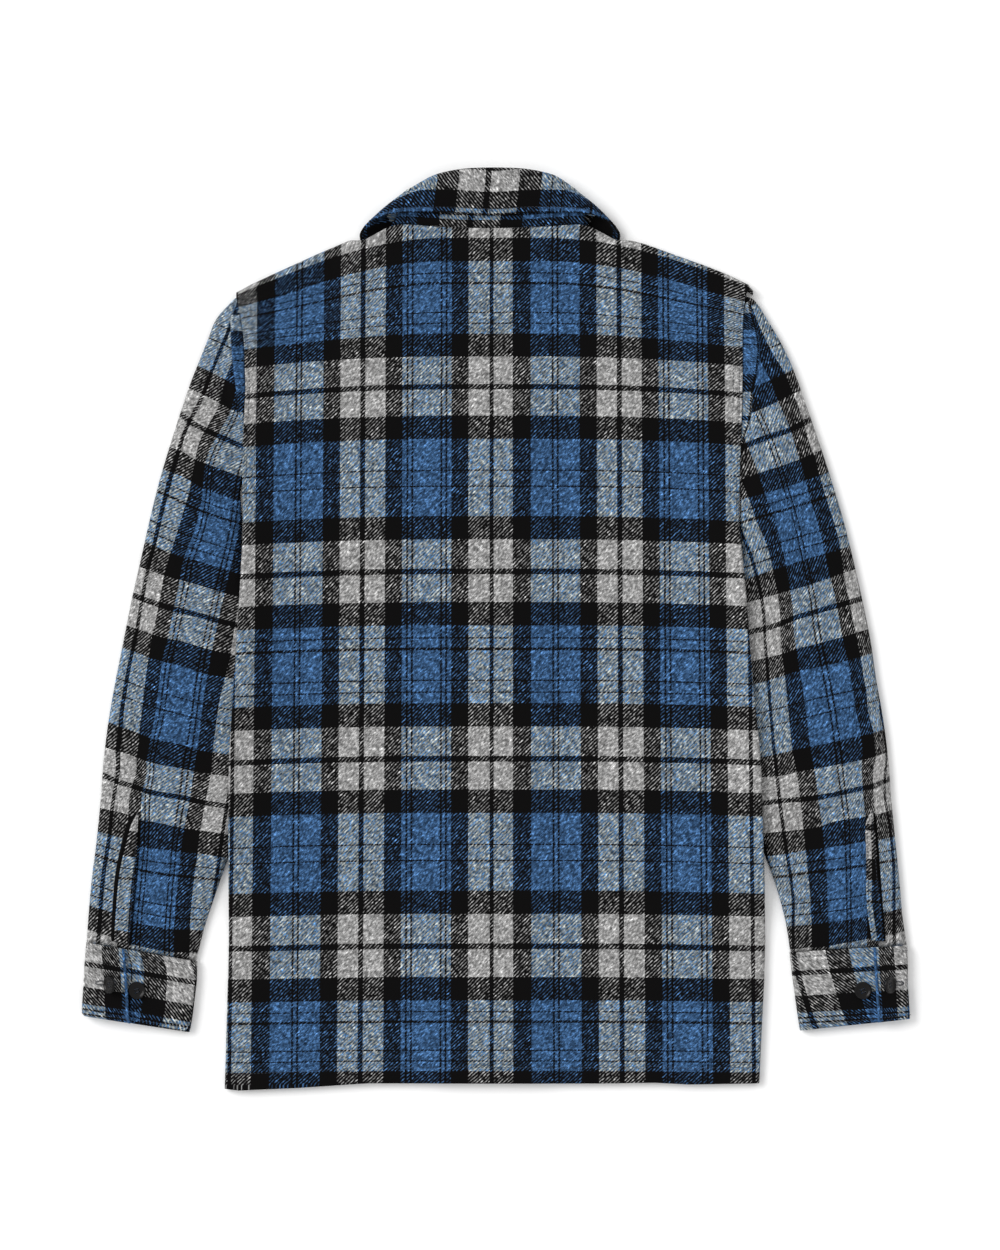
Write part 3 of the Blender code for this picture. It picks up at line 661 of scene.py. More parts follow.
# Stitches of other rows: pitch, length and width
BUTTONHOLE_STITCH = (0.8, 0.7, 1.5)
BUTTON_STITCH = (0.5, 0.9, 0.8)
# Ends and crossings of a button's threads, as heights over its middle
BUTTON_THREAD_LEVELS = (-0.2, 0.45)
THREAD_LIFT = 0.05
LOWEST_STITCH = 0.4

# Cuffs: how far round from the flap's end the plaid has got, as distance and v
CUFF_WEFT = {
    "left": ((0.0, 86.0), (5.5, 90.8), (21.0, 111.8), (50.0, 140.2)),
    "right": ((0.0, 86.5), (4.5, 90.8), (18.0, 111.8), (45.0, 138.0)),
}
CUFF_INNER_V = {"left": 308.7, "right": 297.7}
CUFF_LINE_DEPTH = 18.6
CUFF_WEFT_ON = 100.0
WARP_GREY_LINE, WEFT_GREY_LINE = 96.3, 140.2

# Collar: u at the leaf's edge and at the neck seam, and x of the grey stripe's middle
LEAF_EDGE_U = 137.6
NECK_SEAM_U = 125.6
LEAF_SHIFT = 4.0
STAND_SHIFT = 19.3
COLLAR_PLAID_PITCH = 1.04
LEAF_BACK_FROM = 13
LEAF_LEAST_LEVEL = 0.6

# Creases: how far and how fast each wanders, how it fades in and out along its length,
# and how the sleeves' keep clear of the body's edge, of the cuff and of the outer fold
CREASE_WANDER, CREASE_WAVES, CREASE_SHIFT = 0.35, 5.0, 1.7
CREASE_START, CREASE_END = (-0.15, 0.3), (1.15, 0.6)
CREASE_OUTSET = (-2.0, 12.0)
CREASE_LEVELS = (-296.0, -270.0)
CREASE_SHARES = (0.0, 0.08)
# Creases: start x, y, end x, y, half width, height (a trough is negative)
BACK_CREASES = (
    (-214.0, 250.0, -205.0, 96.0, 11.0, -0.9),
    (-232.0, 118.0, -176.0, 60.0, 12.0, 1.1),
    (-236.0, -60.0, -214.0, -250.0, 14.0, -0.8),
    (-150.0, 330.0, -120.0, 250.0, 16.0, -0.7),
    (204.0, 262.0, 207.0, 150.0, 10.0, -0.9),
    (214.0, 120.0, 150.0, 40.0, 13.0, 1.2),
    (226.0, 10.0, 214.0, -160.0, 15.0, -0.8),
    (150.0, 318.0, 118.0, 240.0, 15.0, -0.6),
    (212.0, 214.0, 160.0, 232.0, 12.0, 0.9),
    (60.0, -150.0, 92.0, -390.0, 26.0, 0.7),
    (-120.0, -190.0, -98.0, -395.0, 24.0, -0.7),
    (188.0, -260.0, 206.0, -395.0, 16.0, 0.8),
    (-20.0, 120.0, 12.0, -70.0, 30.0, 0.5),
)
SLEEVE_CREASES = {
    "left": (
        (-236.0, 268.0, -232.0, 180.0, 5.0, 1.1),
        (-244.0, 246.0, -236.0, 150.0, 5.0, -1.2),
        (-292.0, 112.0, -238.0, 66.0, 9.0, -1.1),
        (-304.0, 60.0, -244.0, 36.0, 10.0, 0.8),
        (-318.0, -20.0, -262.0, -52.0, 11.0, -0.9),
        (-290.0, -60.0, -244.0, -96.0, 12.0, 0.9),
        (-336.0, -100.0, -300.0, -150.0, 9.0, -1.0),
        (-296.0, -140.0, -280.0, -262.0, 9.0, 0.8),
        (-310.0, -170.0, -302.0, -280.0, 6.0, -1.1),
    ),
    "right": (
        (236.0, 262.0, 234.0, 168.0, 5.0, 1.1),
        (246.0, 240.0, 238.0, 146.0, 5.0, -1.2),
        (292.0, 104.0, 236.0, 60.0, 9.0, -1.0),
        (300.0, 40.0, 246.0, 8.0, 10.0, 0.9),
        (318.0, -30.0, 262.0, -54.0, 11.0, -0.9),
        (300.0, -84.0, 250.0, -108.0, 12.0, 0.8),
        (340.0, -96.0, 310.0, -150.0, 8.0, -0.9),
        (288.0, -130.0, 280.0, -262.0, 9.0, -0.9),
        (316.0, -176.0, 312.0, -280.0, 6.0, 1.0),
    ),
}

# Floor, light and camera: floor's size and reach in metres, and the camera's place
FLOOR_SIZE = 24.0
FLOOR_DROP = 0.2
SKY_STRENGTH = 0.86
SUN_STRENGTH = 2.4
SUN_ANGLE = math.radians(38.0)
SUN_FROM = (-1.2, 0.62, 1.0)
CAMERA_X, CAMERA_Y = 4.05, 3.6
SENSOR = 36.0
VIEW_REACH = 30.0


def ease(value, start, end):
    """Smooth step from 0 at start to 1 at end, whichever is larger."""
    share = np.clip((np.asarray(value, dtype=float) - start) / (end - start), 0.0, 1.0)
    return share * share * (3.0 - 2.0 * share)


def look_up(rows, value, key=0, column=1):
    """One column of a table where its key column has the given value."""
    table = np.array([(row[key], row[column]) for row in rows])
    return np.interp(value, table[:, 0], table[:, 1])


def left_x(y):
    return look_up(BODY_SIDES, y, column=1)


def right_x(y):
    return look_up(BODY_SIDES, y, column=2)


def side_distance(x, y):
    return np.maximum(0.0, np.minimum(x - left_x(y), right_x(y) - x))


def side_lift(x, y):
    """Share of the lift that the sleeves give the body's sides, below the underarm."""
    stretch = ease(y, *LIFT_LEVELS_ABOVE) * ease(y, *LIFT_LEVELS_BELOW)
    reach = np.maximum(0.0, 1.0 - side_distance(x, y) / LIFT_REACH)
    return stretch * reach ** 1.5


def placket_share(x):
    return ease(np.abs(x - CENTRE), *PLACKET_REACH)


def collar_share(x, y):
    return ease(np.abs(x - CENTRE), *COLLAR_REACH) * ease(y, *COLLAR_LEVELS)


def armhole_share(x, y):
    return ease(side_distance(x, y), *ARMHOLE_INSET) * ease(y, *ARMHOLE_LEVELS)


def front_bottom(x, y):
    """Height of the fronts' outer face, which is the one that faces the surface."""
    over_buttons = ease(np.abs(x - CENTRE), *BUTTON_STAND_REACH)
    lift = TURNED_COLLAR_LIFT * np.maximum(over_buttons, collar_share(x, y))
    return np.maximum(lift, SLEEVE_LIFT * side_lift(x, y))


def right_front_bottom(x, y):
    return front_bottom(x, y) + OVERLAP_LIFT * ease(x - CENTRE, *OVERLAP_REACH)


def back_top(x, y):
    """Height of the back panel's outer face."""
    level = (1.0 - ARMHOLE_DROP * armhole_share(x, y)) * (1.0 - placket_share(x))
    level = level * (1.0 - collar_share(x, y))
    return BODY_TOP + BODY_RISE * (1.0 - level) + BODY_OVER_SLEEVE * side_lift(x, y)


def side_seam_height(x, y):
    return 0.5 * (back_top(x, y) + front_bottom(x, y))


def seam_gap(x, y):
    beside_neck = ease(np.abs(x - CENTRE), *NECK_OPENING_REACH)
    underarm = ease(y, *UNDERARM_LEVELS_BELOW) * ease(y, *UNDERARM_LEVELS_ABOVE)
    return SEAM + OPEN_GAP * np.maximum(beside_neck, underarm)


def hem_y(x):
    return look_up(BACK_HEM, x)


def back_top_y(x):
    return look_up(BACK_TOP, x)


def front_top_y(x):
    reach = np.abs(x - CENTRE)
    return np.where(reach < NECK_SIDE, look_up(FRONT_NECK, reach), back_top_y(x))


def creased(creases, x, y):
    """Height that soft troughs and ridges add, each fading out at its ends."""
    total = np.zeros(np.shape(x))
    for index, (x0, y0, x1, y1, width, height) in enumerate(creases):
        length = math.hypot(x1 - x0, y1 - y0)
        along = ((x - x0) * (x1 - x0) + (y - y0) * (y1 - y0)) / length ** 2
        across = ((x - x0) * (y1 - y0) - (y - y0) * (x1 - x0)) / length
        wander = CREASE_WANDER * width * np.sin(CREASE_WAVES * along + CREASE_SHIFT * index)
        fade = ease(along, *CREASE_START) * ease(along, *CREASE_END)
        total += height * fade * np.exp(-((across - wander) / width) ** 2)
    return total


def fold_steps(count=6):
    """Insets from an edge, where it is a fold and where it is open, and the turn there."""
    steps = [(0.0, 0.0, 1.0)]
    for step in range(count + 1):
        angle = 0.5 * math.pi * (1.0 - step / count)
        turn = FOLD_TURN * (1.0 - math.cos(angle))
        folded = FOLD_RADIUS * (1.0 - math.sin(angle))
        steps.append((folded, OPEN_REACH * (step + 1) / (count + 1), turn))
    return steps


def panel_lines(length, spacing, closed_start, closed_end, fine=(0.0, 0.0)):
    """Share of the length, insets and turn of the lines across a panel. Within the fine
    distances of its ends, the lines lie close enough for a row of stitches to sink in."""
    lines = []
    if closed_start:
        lines += [(0.0, folded, flat, turn) for folded, flat, turn in fold_steps()]
    margin = OPEN_REACH + OPEN_MARGIN
    start = margin if closed_start else 0.0
    end = length - margin if closed_end else length
    stops = [start, max(start, fine[0]), min(end, length - fine[1]), end]
    places = [start]
    for index, (low, high) in enumerate(zip(stops, stops[1:])):
        pitch = spacing if index == 1 else FINE_SPACING
        if high > low:
            places += list(np.linspace(low, high, max(2, int((high - low) / pitch) + 2))[1:])
    lines += [(place / length, 0.0, 0.0, 0.0) for place in places]
    if closed_end:
        steps = reversed(fold_steps())
        lines += [(1.0, -folded, -flat, turn) for folded, flat, turn in steps]
    return lines


def stitch_dents(x, y):
    """How far the rows of stitches pull the back's cloth in."""
    total = np.zeros(np.shape(x))
    along = ease(y, *ARMHOLE_ROW_START) * ease(y, *ARMHOLE_ROW_END)
    for side, edge in (("left", x - left_x(y)), ("right", right_x(y) - x)):
        rows = ARMHOLE_ROWS[side]
        for inset in rows:
            total -= along * np.exp(-((edge - inset) / STITCH_DENT_WIDTH) ** 2)
        middle = sum(rows) / 2.0
        total += ROW_PUFF * along * np.exp(-((edge - middle) / ROW_PUFF_WIDTH) ** 2)
    total -= np.exp(-((y - hem_y(x) - HEM_ROW) / STITCH_DENT_WIDTH) ** 2)
    return STITCH_DENT * total


def panel_surface(columns, rows, x_from, x_to, edges, height, seam_side, creases):
    """Points of a body panel, hem first. x_from and x_to give its sides at a level."""
    hem, top = edges
    lowest, highest = BODY_SIDES[0][0], BODY_SIDES[-1][0]
    share_x, folded_x, flat_x, turn_x = (np.array(values) for values in zip(*columns))
    grid = []
    for share_y, folded_y, flat_y, turn_y in rows:
        level = lowest + share_y * (highest - lowest)
        closed_x = ease(level, *SIDE_SEAM_LEVELS)
        x = x_from(level) + share_x * (x_to(level) - x_from(level))
        x = x + flat_x + (folded_x - flat_x) * closed_x
        closed_y = ease(np.abs(x - CENTRE), *SHOULDER_REACH)
        inset_y = -flat_y + (flat_y - folded_y) * closed_y
        y = hem(x) + share_y * (top(x) - hem(x)) - inset_y
        turned = 1.0 - (1.0 - closed_x * turn_x) * (1.0 - closed_y * turn_y)
        seam = side_seam_height(x, y) + seam_side * 0.5 * seam_gap(x, y)
        face = height(x, y) + creased(creases, x, y)
        if creases:
            face = face + stitch_dents(x, y)
        grid.append(np.stack((x, y, face * (1.0 - turned) + seam * turned), axis=1))
    return np.array(grid)


def unrolled(grid):
    """Plan places of a panel's points, with the cloth that its folds take up laid out."""
    middle_row, middle_column = grid.shape[0] // 2, grid.shape[1] // 2
    step = np.diff(grid, axis=1)
    across = np.sign(step[:, :, 0] + 1e-9) * np.hypot(step[:, :, 0], step[:, :, 2])
    x = np.concatenate((np.zeros((grid.shape[0], 1)), np.cumsum(across, axis=1)), axis=1)
    x += (grid[:, middle_column, 0] - x[:, middle_column])[:, None]
    step = np.diff(grid, axis=0)
    up = np.sign(step[:, :, 1] + 1e-9) * np.hypot(step[:, :, 1], step[:, :, 2])
    y = np.concatenate((np.zeros((1, grid.shape[1])), np.cumsum(up, axis=0)), axis=0)
    y += (grid[middle_row, :, 1] - y[middle_row])[None, :]
    return x, y


def body_map(x, y):
    """Plaid coordinates on the body, whose rows drop towards the shoulders."""
    lowest, highest = WARP_SPREAD_LEVELS
    share = (y - lowest) / (highest - lowest)
    spread = 1.0 - WARP_SPREAD * (share - WARP_SPREAD_MIDDLE)
    u = CENTRE + (x - CENTRE) * spread - WARP_START
    reach = (np.abs(x) - ROW_DROP_FROM) / (ROW_DROP_TO - ROW_DROP_FROM)
    reach = np.clip(reach, 0.0, ROW_DROP_MOST)
    side = np.where(x > 0.0, ROW_DROP_RIGHT, 1.0)
    drop = look_up(ROW_DROP, y) * side * reach ** 2
    return u, look_up(BACK_ROWS, y + drop)


def photo_place(x, y):
    """Place of a pixel of the photo, to a tenth of a millimetre."""
    middle_x, middle_y = PHOTO_MIDDLE
    return round((x - middle_x) * PIXEL, 1), round((middle_y - y) * PIXEL, 1)


def fitted(lines):
    """Smooth map from x, y to a place in the sett that keeps to the plaid's lines."""
    known = np.array([(*photo_place(*point), value) for value, points in lines
                      for point in points])

    def bends(x, y):
        gap = np.hypot(x[:, None] - known[:, 0], y[:, None] - known[:, 1]) / FIT_SCALE
        return gap * gap * np.log(gap + 1e-9)

    size = len(known)
    flat = np.column_stack((np.ones(size), known[:, :2] / FIT_SCALE))
    stiff = bends(known[:, 0], known[:, 1]) + LINE_SOFTNESS * np.eye(size)
    system = np.block([[stiff, flat], [flat.T, np.zeros((3, 3))]])
    weights = np.linalg.solve(system, np.concatenate((known[:, 2], np.zeros(3))))

    def place(x, y):
        across, up = np.ravel(x), np.ravel(y)
        slope = weights[size + 1] * across + weights[size + 2] * up
        base = weights[size] + slope / FIT_SCALE
        return (bends(across, up) @ weights[:size] + base).reshape(np.shape(x))

    return place


def sleeve_map(side, x, y):
    """Plaid coordinates on a sleeve."""
    warp, weft = SLEEVE_LINES[side]
    return fitted(warp)(x, y), fitted(weft)(x, y)


def smooth_curve(rows, steps):
    """Smooth curve through rows of values, with the given steps between two rows."""
    values = np.array(rows, dtype=float)
    ends = (2.0 * values[:1] - values[1:2], 2.0 * values[-1:] - values[-2:-1])
    padded = np.vstack((ends[0], values, ends[1]))
    points = []
    for index in range(len(values) - 1):
        before, start, end, after = padded[index:index + 4]
        for step in range(steps):
            t = step / steps
            points.append(
                (2.0 * t ** 3 - 3.0 * t ** 2 + 1.0) * start
                + (t ** 3 - 2.0 * t ** 2 + t) * 0.5 * (end - before)
                + (3.0 * t ** 2 - 2.0 * t ** 3) * end
                + (t ** 3 - t ** 2) * 0.5 * (after - start)
            )
    points.append(values[-1])
    return np.array(points)


def outside_body(side, x, y):
    """Distance out from the body's side edge."""
    return left_x(y) - x if side == "left" else x - right_x(y)


def sleeve_faces(side, x, y, share):
    """Heights of a sleeve's lower and upper face. share runs across the sleeve."""
    outside = outside_body(side, x, y)
    squeeze = ease(outside, *SLEEVE_HEAD_OUTSET) * ease(y, *SLEEVE_HEAD_LEVELS)
    swell = SLEEVE_SWELL * (4.0 * share * (1.0 - share)) ** 2
    swell = swell * ease(y, *SWELL_LEVELS_BELOW) * ease(y, *SWELL_LEVELS_ABOVE)
    upper = SLEEVE_TOP + swell
    return HEAD_BOTTOM * squeeze, upper + (HEAD_TOP - upper) * squeeze


def sleeve_crease(side, x, y, share):
    """Creases of a sleeve's upper face, which stay clear of the body's raised edge, and
    the dip where the cloth is sewn into the cuff."""
    clear = ease(outside_body(side, x, y), *CREASE_OUTSET) * ease(y, *CREASE_LEVELS)
    x0, y0, x1, y1 = CUFFS[side][0][:4]
    above = y - (y0 + (x - x0) * (y1 - y0) / (x1 - x0))
    dip = CUFF_SEAM_DIP * ease(above, *CUFF_SEAM_REACH)
    return creased(SLEEVE_CREASES[side], x, y) * clear * ease(share, *CREASE_SHARES) - dip


def sleeve_ring(side, row):
    """One section: along the top from the outer fold, then back along the bottom."""
    outer, inner = np.array(row[:2]), np.array(row[2:])
    width = float(np.linalg.norm(inner - outer))
    along = (inner - outer) / width

    def bend(point, apex):
        lower, upper = sleeve_faces(side, point[0], point[1], 0.0)
        rises = ((upper - lower) * (1.0 - apex), (upper - lower) * apex)
        return [max(rise * rise / EDGE_BEND, rise) for rise in rises]

    outer_up, outer_down = bend(outer, OUTER_APEX)
    inner_up, inner_down = bend(inner, INNER_APEX)
    angles = np.radians(np.linspace(90.0, 0.0, EDGE_POINTS))
    turn, drop = 1.0 - np.sin(angles), np.cos(angles)
    flat_up = np.linspace(outer_up, width - inner_up, TOP_POINTS + 2)[1:-1]
    flat_down = np.linspace(width - inner_down, outer_down, BOTTOM_POINTS + 2)[1:-1]
    distance = np.concatenate((
        outer_up * turn, flat_up, width - inner_up * turn[::-1],
        width - inner_down * turn[1:], flat_down, outer_down * turn[:0:-1],
    ))
    drops = np.concatenate((
        drop, np.ones(TOP_POINTS), drop[::-1],
        drop[1:], np.ones(BOTTOM_POINTS), drop[:0:-1],
    ))
    top_count = EDGE_POINTS + TOP_POINTS + EDGE_POINTS
    upper_side = np.arange(len(distance)) < top_count
    apex = np.where(distance > 0.5 * width, INNER_APEX, OUTER_APEX)
    x = outer[0] + along[0] * distance
    y = outer[1] + along[1] * distance
    lower, upper = sleeve_faces(side, x, y, distance / width)
    middle = lower + apex * (upper - lower)
    face = np.where(upper_side, upper, lower)
    z = middle + (face - middle) * drops
    z = z + sleeve_crease(side, x, y, distance / width) * upper_side * drops
    return np.stack((x, y, z), axis=1), top_count


def sleeve_surface(side):
    rows = smooth_curve(SLEEVES[side], 10)
    rings = [sleeve_ring(side, row) for row in rows]
    return np.array([ring for ring, _count in rings]), rings[0][1]


def sleeve_uv(side, grid, top_count):
    """Plaid coordinates that run on round the outer fold to the underside."""
    u, v = sleeve_map(side, grid[:, :, 0], grid[:, :, 1])
    flat = np.hypot(np.diff(grid[:, :, 0], axis=1), np.diff(grid[:, :, 1], axis=1))
    full = np.sqrt(flat ** 2 + np.diff(grid[:, :, 2], axis=1) ** 2)
    extra = np.concatenate((np.zeros((len(grid), 1)), np.cumsum(full - flat, axis=1)), axis=1)
    sign = 1.0 if side == "left" else -1.0
    middle = top_count // 2
    top = u + sign * (extra - extra[:, middle:middle + 1])
    apex = top[:, :1]
    ring_end = extra[:, -1:] + 1.0
    bottom = 2.0 * apex - u - sign * (ring_end - extra)
    on_top = np.arange(grid.shape[1])[None, :] < top_count
    return np.where(on_top, top, bottom), v


def cuff_section(row):
    """One section of a cuff, from the flap's end round the arm to the end under it."""
    outer, inner = np.array(row[0:2]), np.array(row[2:4])
    width = float(np.linalg.norm(inner - outer))
    along = (inner - outer) / width
    flap = row[4] * width
    half_flap, half_under = 0.5 * CUFF_FLAP_TOP, 0.5 * SLEEVE_TOP
    insets, drops = (np.array(values) for values in zip(*FLAP_END))
    turn = np.linspace(0.0, math.pi, 17)
    on_flap = np.linspace(flap - FLAP_END_REACH, half_flap, 14)[:-1]
    under_arm = np.linspace(half_flap, width - half_under, 24)[1:-1]
    under_end = np.linspace(width - half_under, flap - UNDER_END_BACK, 26)[1:]
    flap_top = np.concatenate((flap - insets, on_flap))
    curl = FLAP_CURL * np.exp(-(flap - flap_top) / FLAP_CURL_REACH)
    distance = np.concatenate((
        flap_top, half_flap * (1.0 - np.sin(turn)), under_arm,
        width - half_under * (1.0 - np.sin(turn)), under_end,
    ))
    height = np.concatenate((
        CUFF_FLAP_TOP - np.append(drops, np.zeros(len(on_flap))) + curl,
        half_flap * (1.0 + np.cos(turn)), np.zeros(len(under_arm)),
        half_under * (1.0 - np.cos(turn)), np.full(len(under_end), SLEEVE_TOP),
    ))
    return np.stack((
        outer[0] + along[0] * distance, outer[1] + along[1] * distance, height,
    ), axis=1)


def cuff_surface(side):
    rows = smooth_curve(CUFFS[side], 5)
    return np.array([cuff_section(row) for row in rows])


def flap_edge(cuff):
    """Folded edge that stands proud along the flap's end, with its plaid."""
    end, inward = cuff[:, 0], unit(cuff[:, 3] - cuff[:, 0])
    shares = np.linspace(0.0, 1.0, 7)
    places = FLAP_EDGE_WIDTH * (shares[None, :, None] - FLAP_EDGE_OUT)
    grid = end[:, None] + places * inward[:, None]
    rise = FLAP_EDGE_RISE * np.sin(np.pi * shares) ** FLAP_EDGE_ROUND
    grid[:, :, 2] = end[:, None, 2] + rise[None, :]
    first, last = FLAP_EDGE_WARP
    back_and_forth = np.abs(reached(end) % (2.0 * (last - first)) - (last - first))
    across = FLAP_EDGE_WEFT + shares * FLAP_EDGE_WIDTH
    return grid, np.broadcast_arrays(first + back_and_forth[:, None], across[None, :])


def unit(vectors):
    return vectors / np.linalg.norm(vectors, axis=-1, keepdims=True)


def reached(points, axis=0):
    """Distance gone at each of a row or a grid of points, along one of its axes."""
    steps = np.linalg.norm(np.diff(points, axis=axis), axis=-1)
    start = np.zeros_like(steps.take([0], axis=axis))
    return np.concatenate((start, np.cumsum(steps, axis=axis)), axis=axis)


def surface_normals(grid):
    return unit(np.cross(np.gradient(grid, axis=1), np.gradient(grid, axis=0)))


def collar_surfaces():
    """Sections of the stand and of the leaf, which lies on the stand's outer side."""
    rows = []
    for sign, half in ((-1.0, reversed(COLLAR[1:])), (1.0, COLLAR)):
        for row in half:
            placed = list(row)
            for column in (0, 3, 6):
                shift = COLLAR_TOP_SHIFT * float(ease(row[column + 1], *COLLAR_TOP_LEVELS))
                placed[column] = CENTRE + sign * row[column] + shift
            rows.append(placed)
    rows = smooth_curve(rows, COLLAR_STEPS)
    stand, leaf = [], []
    for index, row in enumerate(rows):
        before, after = rows[max(0, index - 1)], rows[min(len(rows) - 1, index + 1)]
        neck, top, edge, roll = row[0:3], row[3:6], row[6:9], row[9]
        rise, along = unit(top - neck), unit(after[3:6] - before[3:6])
        normal = unit(np.cross(along, rise))
        beyond = np.cross(normal, along)
        shares = np.linspace(0.0, 1.0, STAND_POINTS)
        bows = STAND_BOW * np.sin(np.pi * shares)
        stand.append(neck + (top - neck) * shares[:, None] + normal * bows[:, None])
        seam = top + beyond * 2.0 * SEAM
        start = seam + beyond * LEAF_START
        centre = start + normal * 0.5 * roll
        turns = np.radians(np.linspace(0.0, ROLL_TURN, ROLL_POINTS))
        circle = beyond * np.sin(turns)[:, None] - normal * np.cos(turns)[:, None]
        outer = start + normal * roll
        bulge = LEAF_BULGE * float(ease(edge[2], *LEAF_BULGE_HEIGHTS))
        shares = np.linspace(LEAF_FIRST, 1.0, LEAF_POINTS)
        bows = bulge * np.sin(np.pi * shares)
        lying = outer + (edge - outer) * shares[:, None] + normal * bows[:, None]
        leaf.append(np.vstack((seam[None, :], centre + circle * 0.5 * roll, lying)))
    return np.array(stand), np.array(leaf)


def strip_surface(side):
    """A strip that lies on the sleeve, from its free edge to its sewn edge."""
    rows = smooth_curve(STRIPS[side], 8)
    shares = np.linspace(0.0, 1.0, STRIP_POINTS)[None, :, None]
    flat = rows[:, None, :2] * (1.0 - shares) + rows[:, None, 2:] * shares
    lift = sleeve_crease(side, flat[:, :, 0], flat[:, :, 1], 0.5)
    lift = lift + STRIP_ARCH * np.sin(np.pi * shares[:, :, 0])
    height = SLEEVE_TOP + SEAM + STRIP_CLOTH + lift
    return np.concatenate((flat, height[:, :, None]), axis=2)


def strip_uv(side, grid):
    """Plaid of a strip: its own piece of cloth, a little off the sleeve's sewn edge."""
    start, shift = STRIP_PLAID[side]
    _u, v = sleeve_map(side, grid[:, :, 0], grid[:, :, 1])
    across = np.hypot(grid[:, :, 0] - grid[:, :1, 0], grid[:, :, 1] - grid[:, :1, 1])
    return start + across, np.broadcast_to(v[:, -1:] - shift, across.shape)


def painted_slit_shade_surface(side):
    """Dark sheet of painted shade in the slit along a strip's free edge, where there is only
    shadow, and its plaid, which stays on black yarn crossing black.
    """
    rows = smooth_curve(STRIPS[side], 8)
    sign = -1.0 if side == "left" else 1.0
    along = np.linspace(0.0, 1.0, len(rows))
    opened = SLIT_SHADE_POINT + (1.0 - SLIT_SHADE_POINT) * ease(along, 0.0, SLIT_SHADE_OPEN)
    widths = SLIT_SHADE_WIDTH[side] * opened * (1.0 - SLIT_SHADE_TAPER * along)
    shares = np.linspace(-0.5, 1.0, 5)
    edge = rows[:, :2] if side == "left" else rows[:, 2:]
    x = edge[:, :1] + sign * shares[None, :] * widths[:, None]
    y = np.repeat(edge[:, 1:2], len(shares), axis=1)
    height = SLEEVE_TOP + SLIT_SHADE_RISE + sleeve_crease(side, x, y, 0.5)
    height = height - SLIT_SHADE_FALL * np.maximum(shares, 0.0)
    # Black on black plaid, as painted shade of the slit
    middle, half_span = SLIT_SHADE_WARP
    start, pitch = SLIT_SHADE_WEFT
    u = np.broadcast_to(middle + half_span * sign * shares, y.shape)
    return np.stack((x, y, height), axis=2), (u, start + pitch * (y - y[0]))


def fold_surface(side):
    """Fold of sleeve cloth beside an armhole, with its plaid coordinates."""
    sign = 1.0 if side == "left" else -1.0
    places, heights = (np.array(values) for values in zip(*ARMHOLE_FOLD_SECTION))
    shares = np.full(len(places), 0.5)
    grid, u, v = [], [], []
    for y, outer, inner, rise, weft in smooth_curve(ARMHOLE_FOLDS[side], 6):
        x = outer + sign * places * (abs(inner - outer) / places[-1])
        level = np.full(len(x), y)
        _lower, upper = sleeve_faces(side, x, level, shares)
        base = upper + sleeve_crease(side, x, level, shares)
        grid.append(np.stack((x, level, base - ARMHOLE_FOLD_SINK + heights * rise), axis=1))
        u.append(ARMHOLE_FOLD_U[side] + sign * ARMHOLE_FOLD_STRETCH * (x - outer))
        v.append(np.full(len(x), weft))
    return np.array(grid), (np.array(u), np.array(v))


def joined(first, second):
    """One object out of two."""
    both = [first, second]
    with bpy.context.temp_override(active_object=first, selected_editable_objects=both):
        bpy.ops.object.join()
    return first


def grid_lengths(grid):
    """Lengths along the middle row and column of a surface's points."""
    across = np.linalg.norm(np.diff(grid[len(grid) // 2], axis=0), axis=1).sum()
    down = np.linalg.norm(np.diff(grid[:, grid.shape[1] // 2], axis=0), axis=1).sum()
    return float(across), float(down)


def grid_area(grid):
    """Area of a surface through a grid of points, in square millimetres."""
    across = grid[:-1, 1:] - grid[:-1, :-1]
    down = grid[1:, :-1] - grid[:-1, :-1]
    return float(np.linalg.norm(np.cross(across, down), axis=2).sum())


def evaluated(thing):
    """A plain mesh object in place of one with modifiers."""
    graph = bpy.context.evaluated_depsgraph_get()
    mesh = bpy.data.meshes.new_from_object(thing.evaluated_get(graph))
    name = thing.name
    result = bpy.data.objects.new(name + "_made", mesh)
    bpy.context.scene.collection.objects.link(result)
    bpy.data.objects.remove(thing)
    result.name = name
    return result


def cloth_piece(name, grid, uv, material, thickness, ring=False, centred=False):
    """Shell over a grid of points with its plaid map, finished as a plain mesh."""
    rows, columns = grid.shape[:2]
    points = (grid.reshape(-1, 3) * MM).tolist()
    u, v = (values.reshape(-1) * MM for values in uv)
    faces, corners = [], []
    for row in range(rows - 1):
        for column in range(columns if ring else columns - 1):
            following = (column + 1) % columns
            face = (row * columns + column, row * columns + following,
                    (row + 1) * columns + following, (row + 1) * columns + column)
            faces.append(face)
            corners.extend(face)
    mesh = bpy.data.meshes.new(name)
    mesh.from_pydata(points, [], faces)
    layer = mesh.uv_layers.new(name="Plaid")
    layer.data.foreach_set("uv", np.stack((u[corners], v[corners]), axis=1).ravel())
    mesh.materials.append(material)
    mesh.update()
    mesh.shade_smooth()
    thing = bpy.data.objects.new(name, mesh)
    bpy.context.scene.collection.objects.link(thing)
    wall = thing.modifiers.new("Cloth", "SOLIDIFY")
    wall.thickness = thickness * MM
    wall.offset = 0.0 if centred else -1.0
    return evaluated(thing)


def flipped(grid, uv):
    """The same surface facing the other way."""
    return grid[:, ::-1], tuple(values[:, ::-1] for values in uv)


def facing(side, plain_side, grid, uv):
    """A surface as it is on its plain side, and turned to face the other way elsewhere."""
    return (grid, uv) if side == plain_side else flipped(grid, uv)


def declare(piece, node, grid):
    """Attach a cloth piece to the root body and hide the solid of its node. The lengths and area
    of its cut are worked out but not kept.
    """
    across, down = grid_lengths(grid)
    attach(piece, "root")
    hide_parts(node)
    area = grid_area(grid) * MM * MM


def node_input(tree, name, kind, value=None):
    socket = tree.interface.new_socket(name=name, in_out="INPUT", socket_type=kind)
    if value is not None:
        socket.default_value = value
    return socket


